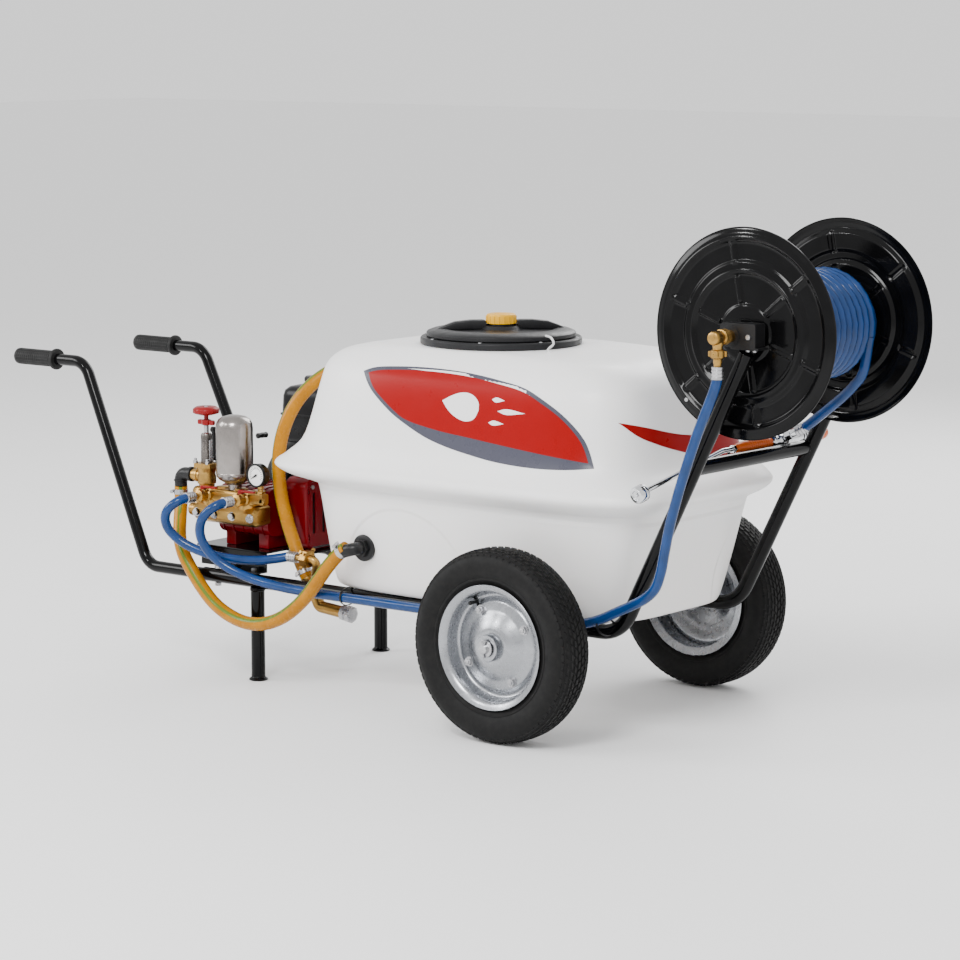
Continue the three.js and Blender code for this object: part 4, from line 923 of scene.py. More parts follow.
SIDE_TOP = [(-418, 644), (-395, 652), (-331, 658), (-250, 660), (-167, 657), (-90, 649), (-24, 638),
            (20, 620),
            (58, 600), (90, 576), (113, 551), (136, 505)]
SIDE_BOTTOM = [(-418, 644), (-392, 614), (-366, 594), (-330, 571), (-295, 554), (-245, 534), (-196, 521),
               (-140, 511), (-81, 503), (-25, 499), (31, 498), (85, 500), (136, 505)]
RED_TOP = [(-404, 642), (-385, 647), (-331, 652), (-250, 654), (-167, 651), (-92, 643), (-27, 632), (16, 614),
           (53, 595), (84, 572), (107, 547), (124, 514)]
RED_BOTTOM = [(-404, 642), (-384, 616), (-358, 597), (-326, 577), (-300, 564), (-220, 549), (-140, 541),
              (-60, 533),
              (20, 525), (80, 519), (124, 514)]
DROP_TOP = [(-212, 604), (-188, 616), (-165, 622), (-142, 619), (-126, 606), (-124, 592)]
DROP_BOTTOM = [(-212, 604), (-196, 588), (-176, 576), (-152, 570), (-132, 576), (-124, 592)]
SPRAY = [(-96, 614, 30, 9), (-80, 594, 64, 10), (-98, 572, 36, 9)]

FRONT_TOP = [(-182, 586), (-120, 572), (-60, 558), (-10, 549), (84, 540), (150, 533), (211, 525)]
FRONT_BOTTOM = [(-182, 586), (-150, 560), (-100, 540), (-30, 520), (45, 503), (120, 494), (192, 486),
                (211, 525)]


def add_decals(surface):
    for name, side in SIDES:
        decal = Shape()
        look = (0, -side, 0)
        on_wall = lambda pts: [(x, side * 240, z) for x, z in pts]
        sticker(decal, surface, on_wall(SIDE_TOP), on_wall(SIDE_BOTTOM), look, 0.3, 0)
        sticker(decal, surface, on_wall(RED_TOP), on_wall(RED_BOTTOM), look, 0.6, 1)
        sticker(decal, surface, on_wall(DROP_TOP), on_wall(DROP_BOTTOM), look, 0.9, 2, 20, 8)
        for x, z, length, width in SPRAY:
            streak = [(x, z), (x + length * 0.3, z + width / 2), (x + length, z)]
            under = [(x, z), (x + length * 0.3, z - width / 2), (x + length, z)]
            sticker(decal, surface, on_wall(streak), on_wall(under), look, 0.9, 2, 16, 4)
        decal.build(f"side_decal_{name}", "frame", "tank_plastic", [DECAL_GREY, DECAL_RED, DECAL_WHITE],
                    bevel=0)
    front = Shape()
    on_front = lambda pts: [(220, y, z) for y, z in pts]
    sticker(front, surface, on_front(FRONT_TOP), on_front(FRONT_BOTTOM), (-1, 0, 0), 0.4, 0)
    front.build("front_decal", "frame", "tank_plastic", [DECAL_RED], bevel=0)


# ---------------------------------------------------------------- lid

def add_lid():
    base = 690.5
    ring = Shape().lathe("z", [(130, base), (153, base), (156, base + 2), (156, base + 11),
                               (153.5, base + 14),
                               (130, base + 14), (130, base)], (LID_X, 0, 0), 96)
    for c, s in circle_points(8, 0.5):
        at = Vector((LID_X + 150 * c, 150 * s, base + 12.6))
        ring.rod(at, at + Vector((0, 0, 3)), 3.6, 16, mark=1, nose=0.8)
    ring.build("mouth_ring", "frame", "black_plastic", [LID_PLASTIC, STEEL], "lid_ring", bevel=0.6)

    rim = 702.3
    basket = Shape().lathe("z", [(126, rim), (126, rim + 1.5), (110, rim + 1.5), (109, rim - 100),
                                 (20, rim - 101),
                                 (20, rim - 102), (111, rim - 102), (112, rim), (126, rim)], (LID_X, 0, 0),
                           72)
    basket.build("mouth_strainer", "frame", "black_plastic", BLACK_PLASTIC, "strainer_basket", bevel=0)

    seat = 704.8
    cover = Shape().lathe("z", [(0, seat + 3), (120, seat + 3), (124, seat), (142, seat), (144, seat + 1.5),
                                (144, seat + 8), (142, seat + 10), (134, seat + 13), (122, seat + 15.2),
                                (110, seat + 15.6), (98, seat + 12.5), (60, seat + 13), (42, seat + 14),
                                (36, seat + 20), (17.2, seat + 20), (17.2, seat + 15), (0, seat + 15)],
                          (LID_X, 0, 0), 96)
    along = Vector((1, 1, 0)).normalized()
    aside = Vector((-1, 1, 0)).normalized()
    centre = Vector((LID_X, 0, 0))
    web = [(-126, 14, 15, 7), (-110, 21, 19, 10), (-90, 28, 23, 16), (-60, 31, 25, 18), (-36, 31, 28, 18),
           (-31, 30, 28, 17)]
    stations = web + [(-t, h, w, d) for t, h, w, d in reversed(web)]
    for ends in (stations[:6], stations[6:]):
        rings = []
        for t, height, width, depth in ends:
            outline = rounded(-width / 2, width / 2, height - depth, height, 2.6, 3)
            rings.append([centre + along * t + aside * y + Vector((0, 0, seat + z)) for y, z in outline])
        cover.rings(rings)
    for sign in (-1, 1):
        cover.rod(centre + along * (sign * 24) + Vector((0, 0, seat + 18)),
                  centre + along * (sign * 40) + Vector((0, 0, seat + 18)), 5)
    cover.rings([[centre + Vector((c * r, s * r, seat + z)) for c, s in circle_points(64)]
                 for r, z in ((25.5, 14), (25.5, 34), (17.4, 34), (17.4, 14))])
    cover.build("lid_with_handle", "lid", "black_plastic", LID_PLASTIC, "lid_cover", bevel=0.5)

    vent = Shape().lathe("z", [(0, seat + 15.3), (16.5, seat + 15.3), (16.5, seat + 36), (26.5, seat + 36),
                               (26.5, seat + 24),
                               (28.6, seat + 24), (28.8, seat + 38), (27.5, seat + 41.5), (24, seat + 42.8),
                               (12, seat + 42.2),
                               (0, seat + 42.2)], (LID_X, 0, 0), 64)
    for c, s in circle_points(18):
        spot = Vector((LID_X + 28.5 * c, 28.5 * s, seat + 24))
        vent.rod(spot, spot + Vector((0, 0, 15)), 1.45, 10)
    vent.block((LID_X - 16, -2.5, seat + 41.5), (LID_X + 16, 2.5, seat + 42.9))
    vent.build("yellow_vent", "vent_cap", "yellow_plastic", YELLOW_PLASTIC, "vent_cap", bevel=0.5)

    tether = smooth_path([(LID_X + 140, -42, 716), (LID_X + 158, -50, 714), (LID_X + 170, -58, 704),
                          (LID_X + 166, -70, 694), (LID_X + 178, -78, 689)], 4)
    Shape().tube(tether, 2.2, 12).build("lid_tether", "frame", "tank_plastic", CLEAR_PLASTIC, bevel=0)


# ---------------------------------------------------------------- hose reel

DISC_Y = 160
DISC_R = 188.5
RIB_PHASE = -1 / 6            # puts a rib 40 degrees above the horizontal


def bell(value, middle, width):
    """A rounded ridge: 1 at the middle, 0 beyond half the width."""
    share = abs(value - middle) / (width / 2)
    return (0.5 + 0.5 * math.cos(math.pi * share)) if share < 1 else 0.0


def step(value, start, end):
    share = min(max((value - start) / (end - start), 0), 1)
    return share * share * (3 - 2 * share)


def disc_height(radius, angle):
    """How far the stamped disc stands out from its plane, with its rings and six pairs of ribs."""
    height = 3 * (1 - step(radius, 48, 56)) + 4 * step(radius, 103, 110) - 3.5 * step(radius, 125, 132)
    height += 5.8 * step(radius, 159, 169) - 4 * step(radius, 174, 189)
    height += 1.2 * bell(radius, 112, 5) + 1.0 * bell(radius, 170, 6)
    rib = (angle / math.radians(60) + RIB_PHASE) % 1 - 0.5
    across_rib = abs(rib) * math.radians(60) * radius
    for low, high in ((54, 105), (124, 166)):
        inside = step(radius, low, low + 4) * (1 - step(radius, high - 4, high))
        height += 4 * inside * (1 - step(across_rib, 3.6, 6.6))
    return height


def add_disc(name, side):
    count = 360
    radii = [28, 34, 42, 47, 49, 51, 53, 55, 57, 59, 62, 70, 80, 90, 97, 99, 101, 103, 105, 107, 109, 110,
             111, 112,
             113, 114, 116, 119, 122, 124, 126, 128, 130, 132, 134, 138, 146, 154, 158, 160, 162, 164, 166,
             168, 169,
             170, 171, 172, 174, 177, 180, 183, 186, DISC_R]
    disc = Shape()
    skins = []
    for thickness in (0, -1.6):
        rings = []
        for radius in radii:
            ring = []
            for i in range(count):
                a = 2 * math.pi * i / count
                y = side * (DISC_Y + max(disc_height(radius, a), -1.0) + thickness)
                ring.append((REEL_X + radius * math.cos(a), y, REEL_Z + radius * math.sin(a)))
            rings.append(ring)
        skins.append(rings)
    disc.rings([*skins[0], *reversed(skins[1]), skins[0][0]], caps=False)
    edge = [(DISC_R - 2.6, 0.6), (DISC_R - 0.6, 0.6), (DISC_R, 1.4), (DISC_R - 0.2, 2.8), (DISC_R - 2.6, 2.6),
            (DISC_R - 2.6, 0.6)]
    disc.lathe((0, side, 0), edge, (REEL_X, side * DISC_Y, REEL_Z), 180)
    disc.build(f"stamped_disc_{name}", "reel", "black_paint", BLACK_PAINT, f"reel_disc_{name}", bevel=0,
               angle=50)


def add_reel():
    for name, side in SIDES:
        add_disc(name, side)
        add_bearing_block(name, side)
        bolt = Vector((REEL_X + 172 * math.cos(3.95), side * (DISC_Y + 5.6), REEL_Z + 172 * math.sin(3.95)))
        head = Shape().rod(bolt, bolt + Vector((0, side * 4, 0)), 4, 6)
        head.build(f"disc_bolt_{name}", "reel", "zinc", STEEL, bevel=0.4)
    inner = DISC_Y - 2.2
    profile = [(11, -206), (12, -205), (12, -163), (27.5, -163), (27.5, -inner), (45, -inner), (45, inner),
               (27.5, inner), (27.5, 163), (12, 163), (12, 221), (11, 222)]
    drum = Shape().lathe("y", profile, (REEL_X, 0, REEL_Z), 64)
    drum.rod((REEL_X, 211, REEL_Z), (REEL_X, 224, REEL_Z), 15, 32, nose=1)
    drum.tube([(REEL_X, 217, REEL_Z), (REEL_X - 120, 217, REEL_Z + 60)], 6.6, 20)
    drum.rod((REEL_X - 120, 211, REEL_Z + 60), (REEL_X - 120, 223, REEL_Z + 60), 9, 24, nose=1)
    drum.rod((REEL_X - 120, 217, REEL_Z + 60), (REEL_X - 120, 267, REEL_Z + 60), 4, 16, mark=1)
    drum.rod((REEL_X, 221, REEL_Z), (REEL_X, 227, REEL_Z), 7, 6, mark=1)
    drum.build("drum_and_crank", "reel", "black_paint", [BLACK_PAINT, STEEL], "reel_drum", bevel=0.6)
    knob = Shape().lathe("y", [(5, 225), (10, 225), (12, 227), (13.6, 238), (14, 250), (13, 261), (10, 265),
                               (5, 265)],
                         (REEL_X - 120, 0, REEL_Z + 60), 40)
    for c, s in circle_points(12):
        start = Vector((REEL_X - 120 + 13.2 * c, 234, REEL_Z + 60 + 13.2 * s))
        knob.rod(start, start + Vector((0, 24, 0)), 1, 8)
    knob.build("fluted_crank_knob", "crank_knob", "black_plastic", BLACK_PLASTIC, "crank_knob", bevel=0.4)
    add_swivel()


def add_bearing_block(name, side):
    y0, y1 = sorted((side * 176.5, side * 208))
    block = Shape()
    outline = [(-22, -19), (-22, 17), (-16, 23), (50, 23), (52, 20), (52, -19), (58, -19), (58, -23),
               (2, -23), (-2, -19)]
    block.rings([[(REEL_X + x, y, REEL_Z + z) for x, z in outline] for y in (y0, y1)])
    face = side * 208
    block.lathe((0, side, 0), [(16, 207), (19, 208.4), (19, 209.2), (12.6, 209.2)], (REEL_X, 0, REEL_Z), 40)
    for x in (REEL_X + 30, REEL_X + 44):
        block.rod((x, face - side * 12, REEL_Z - 27), (x, face - side * 12, REEL_Z - 20), 4.5, 6, mark=1)
    block.rod((REEL_X + 38, face - side * 2, REEL_Z), (REEL_X + 38, face + side * 3, REEL_Z), 5, 6, mark=1)
    block.build(f"reel_bearing_{name}", "frame", "black_plastic", [BLACK_PLASTIC, STEEL],
                f"bearing_block_{name}", bevel=1.2)


def add_swivel():
    y, z = -246.3, REEL_Z
    face = -208.3
    body = Shape().lathe("y", [(8, -264.3), (11, -263), (12.5, -259), (12.5, -243), (11, -241), (11, -239),
                               (14, -238),
                               (14, -224), (13, -222.5), (11, -222), (11, face)], (REEL_X, 0, z), 40)
    body.rod((REEL_X, y - 18.6, z), (REEL_X, y - 14, z), 5, 6)
    for k in range(5):
        body.lathe("y", [(13.4, -236 + k * 2.6), (14.4, -235.3 + k * 2.6), (13.4, -234.6 + k * 2.6)],
                   (REEL_X, 0, z), 40)
    body.lathe("z", [(10, 0), (10.5, -12), (9, -16), (9, -20), (11, -21), (13, -23), (13, -34), (11, -36),
                     (8, -37),
                     (8, -44), (7, -46), (7, -58), (5, -58)], (REEL_X, y, z), 36)
    for c, s in circle_points(4, 0.3):
        centre = Vector((REEL_X + 13.5 * c, y + 13.5 * s, z - 28))
        body.rod(centre - Vector((0, 0, 5)), centre + Vector((0, 0, 5)), 3.4, 12, nose=1)
    body.build("brass_swivel", "frame", "brass", BRASS, "swivel", bevel=0.5)


# ---------------------------------------------------------------- pump

HEAD_Y = -172
REGULATOR_X, CHAMBER_X = -870, -794
PUMP_Y, PUMP_Z = -45, 330


def add_pump():
    case = Shape().prism(rounded(-148, -22, 280, 378, 22), -862, -728)
    for x in (-848, -822, -796, -770, -744):
        case.prism(rounded(-150, -20, 278, 380, 23), x - 1.5, x + 1.5)
    for x in (-848, -760):
        case.block((x, -140, 256.3), (x + 26, -30, 290))
        for y in (-128, -42):
            case.rod((x + 13, y, 266), (x + 13, y, 272), 6, 6, mark=1)
    case.lathe("x", [(36, -730), (36, -724), (33, -720), (12, -720)], (0, PUMP_Y, PUMP_Z), 48)
    for c, s in circle_points(4, 0.5):
        case.rod((-724, PUMP_Y + 28 * c, PUMP_Z + 28 * s), (-716, PUMP_Y + 28 * c, PUMP_Z + 28 * s), 3.6, 6,
                 mark=1)
    case.lathe("z", [(10, 378), (10, 383), (7, 385), (7, 388), (4, 388.3)], (-812, -60, 0), 6, mark=1)
    case.lathe("x", [(13, -862), (13, -865), (9, -866.5), (4, -866.5)], (0, -75, 325), 32, mark=2)
    case.build("red_crankcase", "frame", "red_paint", [RED_PAINT, STEEL, CLEAR_PLASTIC], "pump_crankcase",
               bevel=1.2)
    add_pump_head()
    add_regulator()
    chamber = Shape().lathe("z", [(14, 376.3), (14, 386), (18, 388), (22, 391), (31, 396), (36, 402),
                                  (37.5, 410),
                                  (37.5, 500), (36.2, 509), (32, 517), (24, 522.5), (12, 525.4), (0, 526)],
                            (CHAMBER_X, HEAD_Y, 0), 64)
    chamber.lathe("z", [(37.4, 408.5), (37.9, 409.5), (37.4, 410.5)], (CHAMBER_X, HEAD_Y, 0), 64)
    chamber.build("stainless_air_chamber", "frame", "stainless", STAINLESS, "air_chamber", bevel=0)
    add_gauge()


def add_pump_head():
    head = Shape()
    low = [(-148.3, 308), (-184, 306), (-196, 312), (-202, 322), (-202, 334), (-194, 342), (-184, 348),
           (-148.3, 348)]
    head.rings([[(x, -148.3 + (y + 148.3) * k, 327 + (z - 327) * k) for y, z in low]
                for x, k in ((-888, 0.72), (-882, 0.96), (-874, 1), (-735, 1), (-726, 0.96), (-721, 0.8))])
    top = rounded(-192, -156, 346, 376, 9)
    head.rings([[(x, -174 + (y + 174) * k, 361 + (z - 361) * k) for y, z in top]
                for x, k in ((-896, 0.7), (-890, 0.96), (-880, 1), (-740, 1), (-730, 0.9), (-724, 0.72))])
    head.prism(rounded(-192, -172, 352, 376, 6), -740, -704)
    for i in range(3):
        x = -850 + i * 48
        head.lathe("z", [(22, 334), (24, 340), (24, 352), (20, 356)], (x, -172, 0), 40)
        head.lathe("z", [(15, 374), (15, 378), (12, 379.6), (6, 379.6)], (x + 22, -170, 0), 6)
    head.rod((-912, HEAD_Y, 326), (-880, HEAD_Y, 326), 13, 36, nose=1)
    for k in range(6):
        head.lathe("x", [(12.6, -911 + k * 3), (13.5, -910 + k * 3), (12.6, -909 + k * 3)], (0, HEAD_Y, 326),
                   36)
    head.rod((-893, HEAD_Y, 326), (-884, HEAD_Y, 326), 17, 6)
    for i in range(4):
        at = Vector((-872 + i * 48, -200, 326))
        head.rod(at, at - Vector((0, 2, 0)), 9, 24, mark=1)
        head.rod(at - Vector((0, 2, 0)), at - Vector((0, 7, 0)), 7, 6, mark=1)
    for x in (-852, -750):
        head.lathe("y", [(14, -186), (14, -196), (11, -199), (11, -210), (13, -211), (13, -219), (9, -221),
                         (7, -222),
                         (7, -228), (8.2, -229), (6.6, -233), (8.2, -234), (6.6, -238)], (x, 0, 362), 36)
        head.rod((x, -214.5, 362), (x, -208, 362), 12.4, 6)
        head.rod((x, -203, 362), (x, -203, 375), 9, 24, nose=1)
    head.rod((GAUGE_X, -182, 372), (GAUGE_X, -182, 380), 9, 6)
    head.rod((GAUGE_X, -182, 378), (GAUGE_X, -182, 384), 5.5, 20)
    head.rod((GAUGE_X + 11, -192, 360), (GAUGE_X + 11, -186, 360), 7, 6)
    head.build("brass_pump_head", "frame", "brass", [BRASS, STEEL], "pump_head", bevel=0.9)

    for i, x in enumerate((-852, -750)):
        lever = Shape().lathe("z", [(0, 373.5), (6, 373.5), (6, 381), (4.5, 382.2), (0, 382.2)], (x, -203, 0),
                              24)
        outline = [(x - 4, -207), (x + 10, -208.6), (x + 36, -207), (x + 38, -203), (x + 36, -199),
                   (x + 10, -197.4),
                   (x - 4, -199)]
        lever.rings([[(px, py, z) for px, py in outline] for z in (378, 381.8)])
        lever.build(f"cock_lever_{i + 1}", f"outlet_lever_{i + 1}", "red_plastic", RED_PLASTIC,
                    f"outlet_lever_{i + 1}", bevel=0.8)


def add_regulator():
    x, y = REGULATOR_X, HEAD_Y
    body = Shape().lathe("z", [(16, 376.3), (16, 380), (19, 382), (19, 396), (17, 402), (19, 408), (21, 414),
                               (15, 416)],
                         (x, y, 0), 40)
    plate = [(x + dx, y + dy) for dx, dy in ((-22, -15), (-15, -22), (15, -22), (22, -15), (22, 15), (15, 22),
                                             (-15, 22), (-22, 15))]
    body.rings([[(px, py, z) for px, py in plate] for z in (414, 423)])
    body.lathe("x", [(10, -907), (12, -906), (12, -898), (14, -897), (14, -890), (12, -889), (12, x)],
               (0, y, 396), 36)
    body.block((x - 5, y + 12, 420), (x + 5, y + 15.5, 434), mark=1)
    for dx, dy in ((-16, -16), (16, -16), (-16, 15), (16, 15)):
        body.rod((x + dx, y + dy, 422), (x + dx, y + dy, 428), 5, 6, mark=1)
        body.rod((x + dx, y + dy, 428), (x + dx, y + dy, 433), 3, 16, mark=1)
    housing = [(11.5, 422), (11.5, 446)]
    for k in range(6):
        z = 448 + k * 4
        housing += [(11.5, z), (10.6, z + 0.6), (10.6, z + 2), (11.5, z + 2.6)]
    housing += [(11.5, 478), (9.5, 483), (5.4, 483), (5.4, 470)]
    body.lathe("z", housing, (x, y, 0), 36, mark=2)
    for c in (-1, 1):
        body.block((x + c * 11 - 1.4, y - 4, 428), (x + c * 11 + 1.4, y + 4, 470), mark=1)
    body.build("brass_regulator", "frame", "brass", [BRASS, STEEL, DARK_STEEL], "regulator_body", bevel=0.5)

    knob = Shape().lathe("z", [(0, 469), (4.6, 469), (4.6, 518), (8, 519), (13, 520), (24, 523), (26.4, 526),
                               (26.8, 530), (25, 534), (20, 537), (12, 537.6), (6, 535), (0, 535)], (x, y, 0),
                         64)
    for c, s in circle_points(18):
        start = Vector((x + 25.2 * c, y + 25.2 * s, 524))
        knob.rod(start, start + Vector((0, 0, 9)), 1.6, 10, nose=0.5)
    knob.rod((x, y, 534), (x, y, 538), 5.5, 6, mark=1)
    knob.lathe("z", [(4.8, 484), (5.1, 486), (5.1, 499)], (x, y, 0), 20, mark=1)
    knob.build("pressure_knob", "regulator_knob", "red_plastic", [RED_PLASTIC, STEEL], "regulator_knob",
               bevel=0.4)
    nut = Shape().lathe("z", [(5.5, 500), (11, 500), (11, 510), (8, 511), (5.5, 511)], (x, y, 0), 6)
    for sign in (-1, 1):
        wing = [(x + sign * a, z) for a, z in ((8, 500.5), (19, 500), (21, 502), (21, 508), (19, 510),
                                               (8, 509.5))]
        nut.rings([[(px, py, z) for px, z in wing] for py in (y - 3.6, y + 3.6)])
    nut.build("winged_lock_nut", "lock_nut", "red_plastic", RED_PLASTIC, "lock_nut", bevel=0.8)

    lever_y = y + 21
    lever = Shape().rod((x - 7, lever_y, 430), (x + 7, lever_y, 430), 5, 24, nose=0.6)
    outline = [(-4, 430), (-3.4, 486), (3.4, 486), (4, 430)]
    lever.rings([[(x + px, py, z) for px, z in outline] for py in (lever_y - 2.2, lever_y + 2.2)])
    lever.rod((x - 5, lever_y, 488), (x + 5, lever_y, 488), 6, 24, nose=1)
    lever.build("pressure_relief_lever", "relief_lever", "black_plastic", BLACK_PLASTIC, "relief_lever",
                bevel=0.5)

    tip = 370
    elbow = Shape().tube(filleted([(-906.5, y, 396), (-942, y, 396), (-942, y, tip)], 14), 13, 28)
    elbow.lathe("x", [(13, -907), (15, -908), (15, -916), (13, -917)], (0, y, 396), 36)
    elbow.lathe("z", [(13, 384), (14.6, 383), (14.6, 380), (13, 379)], (-942, y, 0), 36)
    elbow.build("return_line_elbow", "frame", "black_plastic", BLACK_PLASTIC, "bypass_elbow", bevel=0.4)


def add_gauge():
    x, y, z = GAUGE_X, -186, GAUGE_Z
    case = Shape().lathe("y", [(0, y - 9), (20.5, y - 9)], (x, 0, z), 64, caps=False)
    case.lathe("y", [(20.5, y - 8.9), (20.5, y - 11.4), (21.2, y - 12), (22.6, y - 12), (24, y - 11),
                     (24, y - 8),
                     (23.2, y - 7), (22.6, y + 6), (20, y + 10), (0, y + 10)], (x, 0, z), 64, mark=1,
               caps=False)
    case.rod((x, y + 4, 384.3), (x, y + 4, z - 20), 5, 20, mark=2)
    case.rod((x, y + 4, 385), (x, y + 4, 390), 7, 6, mark=2)
    case.build("pressure_gauge", "frame", "dial", [DIAL, ENGINE_PAINT, BRASS], "gauge", bevel=0.3)
    needle = Shape().rod((x, y - 9.3, z), (x, y - 11, z), 2.5, 24, nose=0.4)
    turned = math.radians(-120)
    tip, tail = [Vector((math.sin(turned), 0, math.cos(turned))) * r for r in (17, -5)]
    aside = Vector((math.cos(turned), 0, -math.sin(turned)))
    base = Vector((x, y - 9.7, z))
    for depth in (0, -0.7):
        lift = Vector((0, depth, 0))
        needle.add([base + tip + lift, base + aside * 2.1 + lift, base + tail + lift,
                    base - aside * 2.1 + lift],
                   [(0, 1, 2, 3)])
    needle.build("pointer", "gauge_needle", "needle", BLACK_PLASTIC, "gauge_needle", bevel=0)


# ---------------------------------------------------------------- belt drive

BELT_X = -684
ENGINE_Y, ENGINE_Z = 105, 360


def add_drive():
    for name, y, z, groove, shaft, start in (("pump", PUMP_Y, PUMP_Z, 58, 10, -760),
                                             ("engine", ENGINE_Y, ENGINE_Z, 21, 9.5, -745)):
        flange = groove + 8
        wheel = Shape().lathe("x", [(shaft, -10), (flange, -10), (flange, -6.5), (groove, -4.5),
                                    (groove, 4.5),
                                    (flange, 6.5), (flange, 10), (shaft, 10)], (BELT_X, y, z), 72)
        wheel.rod((start, y, z), (BELT_X + 12, y, z), shaft, 28, nose=0.8)
        wheel.build(f"{name}_sheave", f"{name}_pulley", "pulley_iron", STEEL, f"{name}_pulley", bevel=0.4)
    spacing = math.hypot(ENGINE_Y - PUMP_Y, ENGINE_Z - PUMP_Z)
    lean = math.atan2(ENGINE_Z - PUMP_Z, ENGINE_Y - PUMP_Y)
    tangent = math.acos((58 - 21) / spacing)
    rings = []
    for x, extra in ((-4.4, 0.6), (-5.4, 7.4), (5.4, 7.4), (4.4, 0.6), (-4.4, 0.6)):
        ring = []
        for (y, z, r, a0, a1) in ((PUMP_Y, PUMP_Z, 58, lean + tangent, lean + 2 * math.pi - tangent),
                                  (ENGINE_Y, ENGINE_Z, 21, lean - tangent, lean + tangent)):
            for k in range(33):
                a = a0 + (a1 - a0) * k / 32
                ring.append((BELT_X + x, y + (r + extra) * math.cos(a), z + (r + extra) * math.sin(a)))
        rings.append(ring)
    Shape().rings(rings, caps=False).build("v_belt", "frame", "belt_rubber", BELT_RUBBER, "drive_belt",
                                           bevel=0)
    add_guard()


def add_guard():
    """The red sheet cover over the belt: round corners, and a row of tall slots with a thin black sheet
    behind them that paints the shade inside the guard.
    """
    guard = Shape()
    outer = rounded(-115, 145, 256.3, 401, 24, 8)
    inner = rounded(-113, 143, 258.3, 399, 22, 8)
    rings = [[(-712, y, z) for y, z in outer]]
    rings += [[(x, 15 + (y - 15) * k, 328.6 + (z - 328.6) * k) for y, z in outer]
              for x, k in ((-660, 1), (-656.5, 0.993), (-654.6, 0.975), (-654, 0.955))]
    guard.rings(rings, caps=False)
    guard.rings([[(x, y, z) for y, z in inner] for x in (-712, -657)], caps=False)
    guard.rings([[(-712, y, z) for y, z in outline] for outline in (outer, inner)], caps=False)
    low, high = (15 - 130 * 0.955, 328.6 - 72.3 * 0.955), (15 + 130 * 0.955, 328.6 + 72.3 * 0.955)
    slots = [(-96 + i * 29, -88 + i * 29) for i in range(8)]
    edges = [low[0]] + [y for slot in slots for y in slot] + [high[0]]
    for i in range(0, len(edges), 2):
        guard.block((-656, edges[i], 290), (-654.02, edges[i + 1], 372))
    guard.block((-656, low[0] + 4, low[1] + 4), (-654.02, high[0] - 4, 290))
    guard.block((-656, low[0] + 4, 372), (-654.02, high[0] - 4, high[1] - 4))
    # Painted shade: a thin black sheet just behind the slots stands for the dark inside of the guard.
    guard.block((-657.6, low[0] + 6, 286), (-657.1, high[0] - 6, 376), mark=2)
    for y in (-98, 128):
        guard.rod((-654, y, 384), (-650.8, y, 384), 4.5, 6, mark=1)
    guard.build("louvred_belt_guard", "frame", "red_paint", [RED_PAINT, STEEL, BLACK_PLASTIC], "belt_guard",
                bevel=0)


# ---------------------------------------------------------------- engine

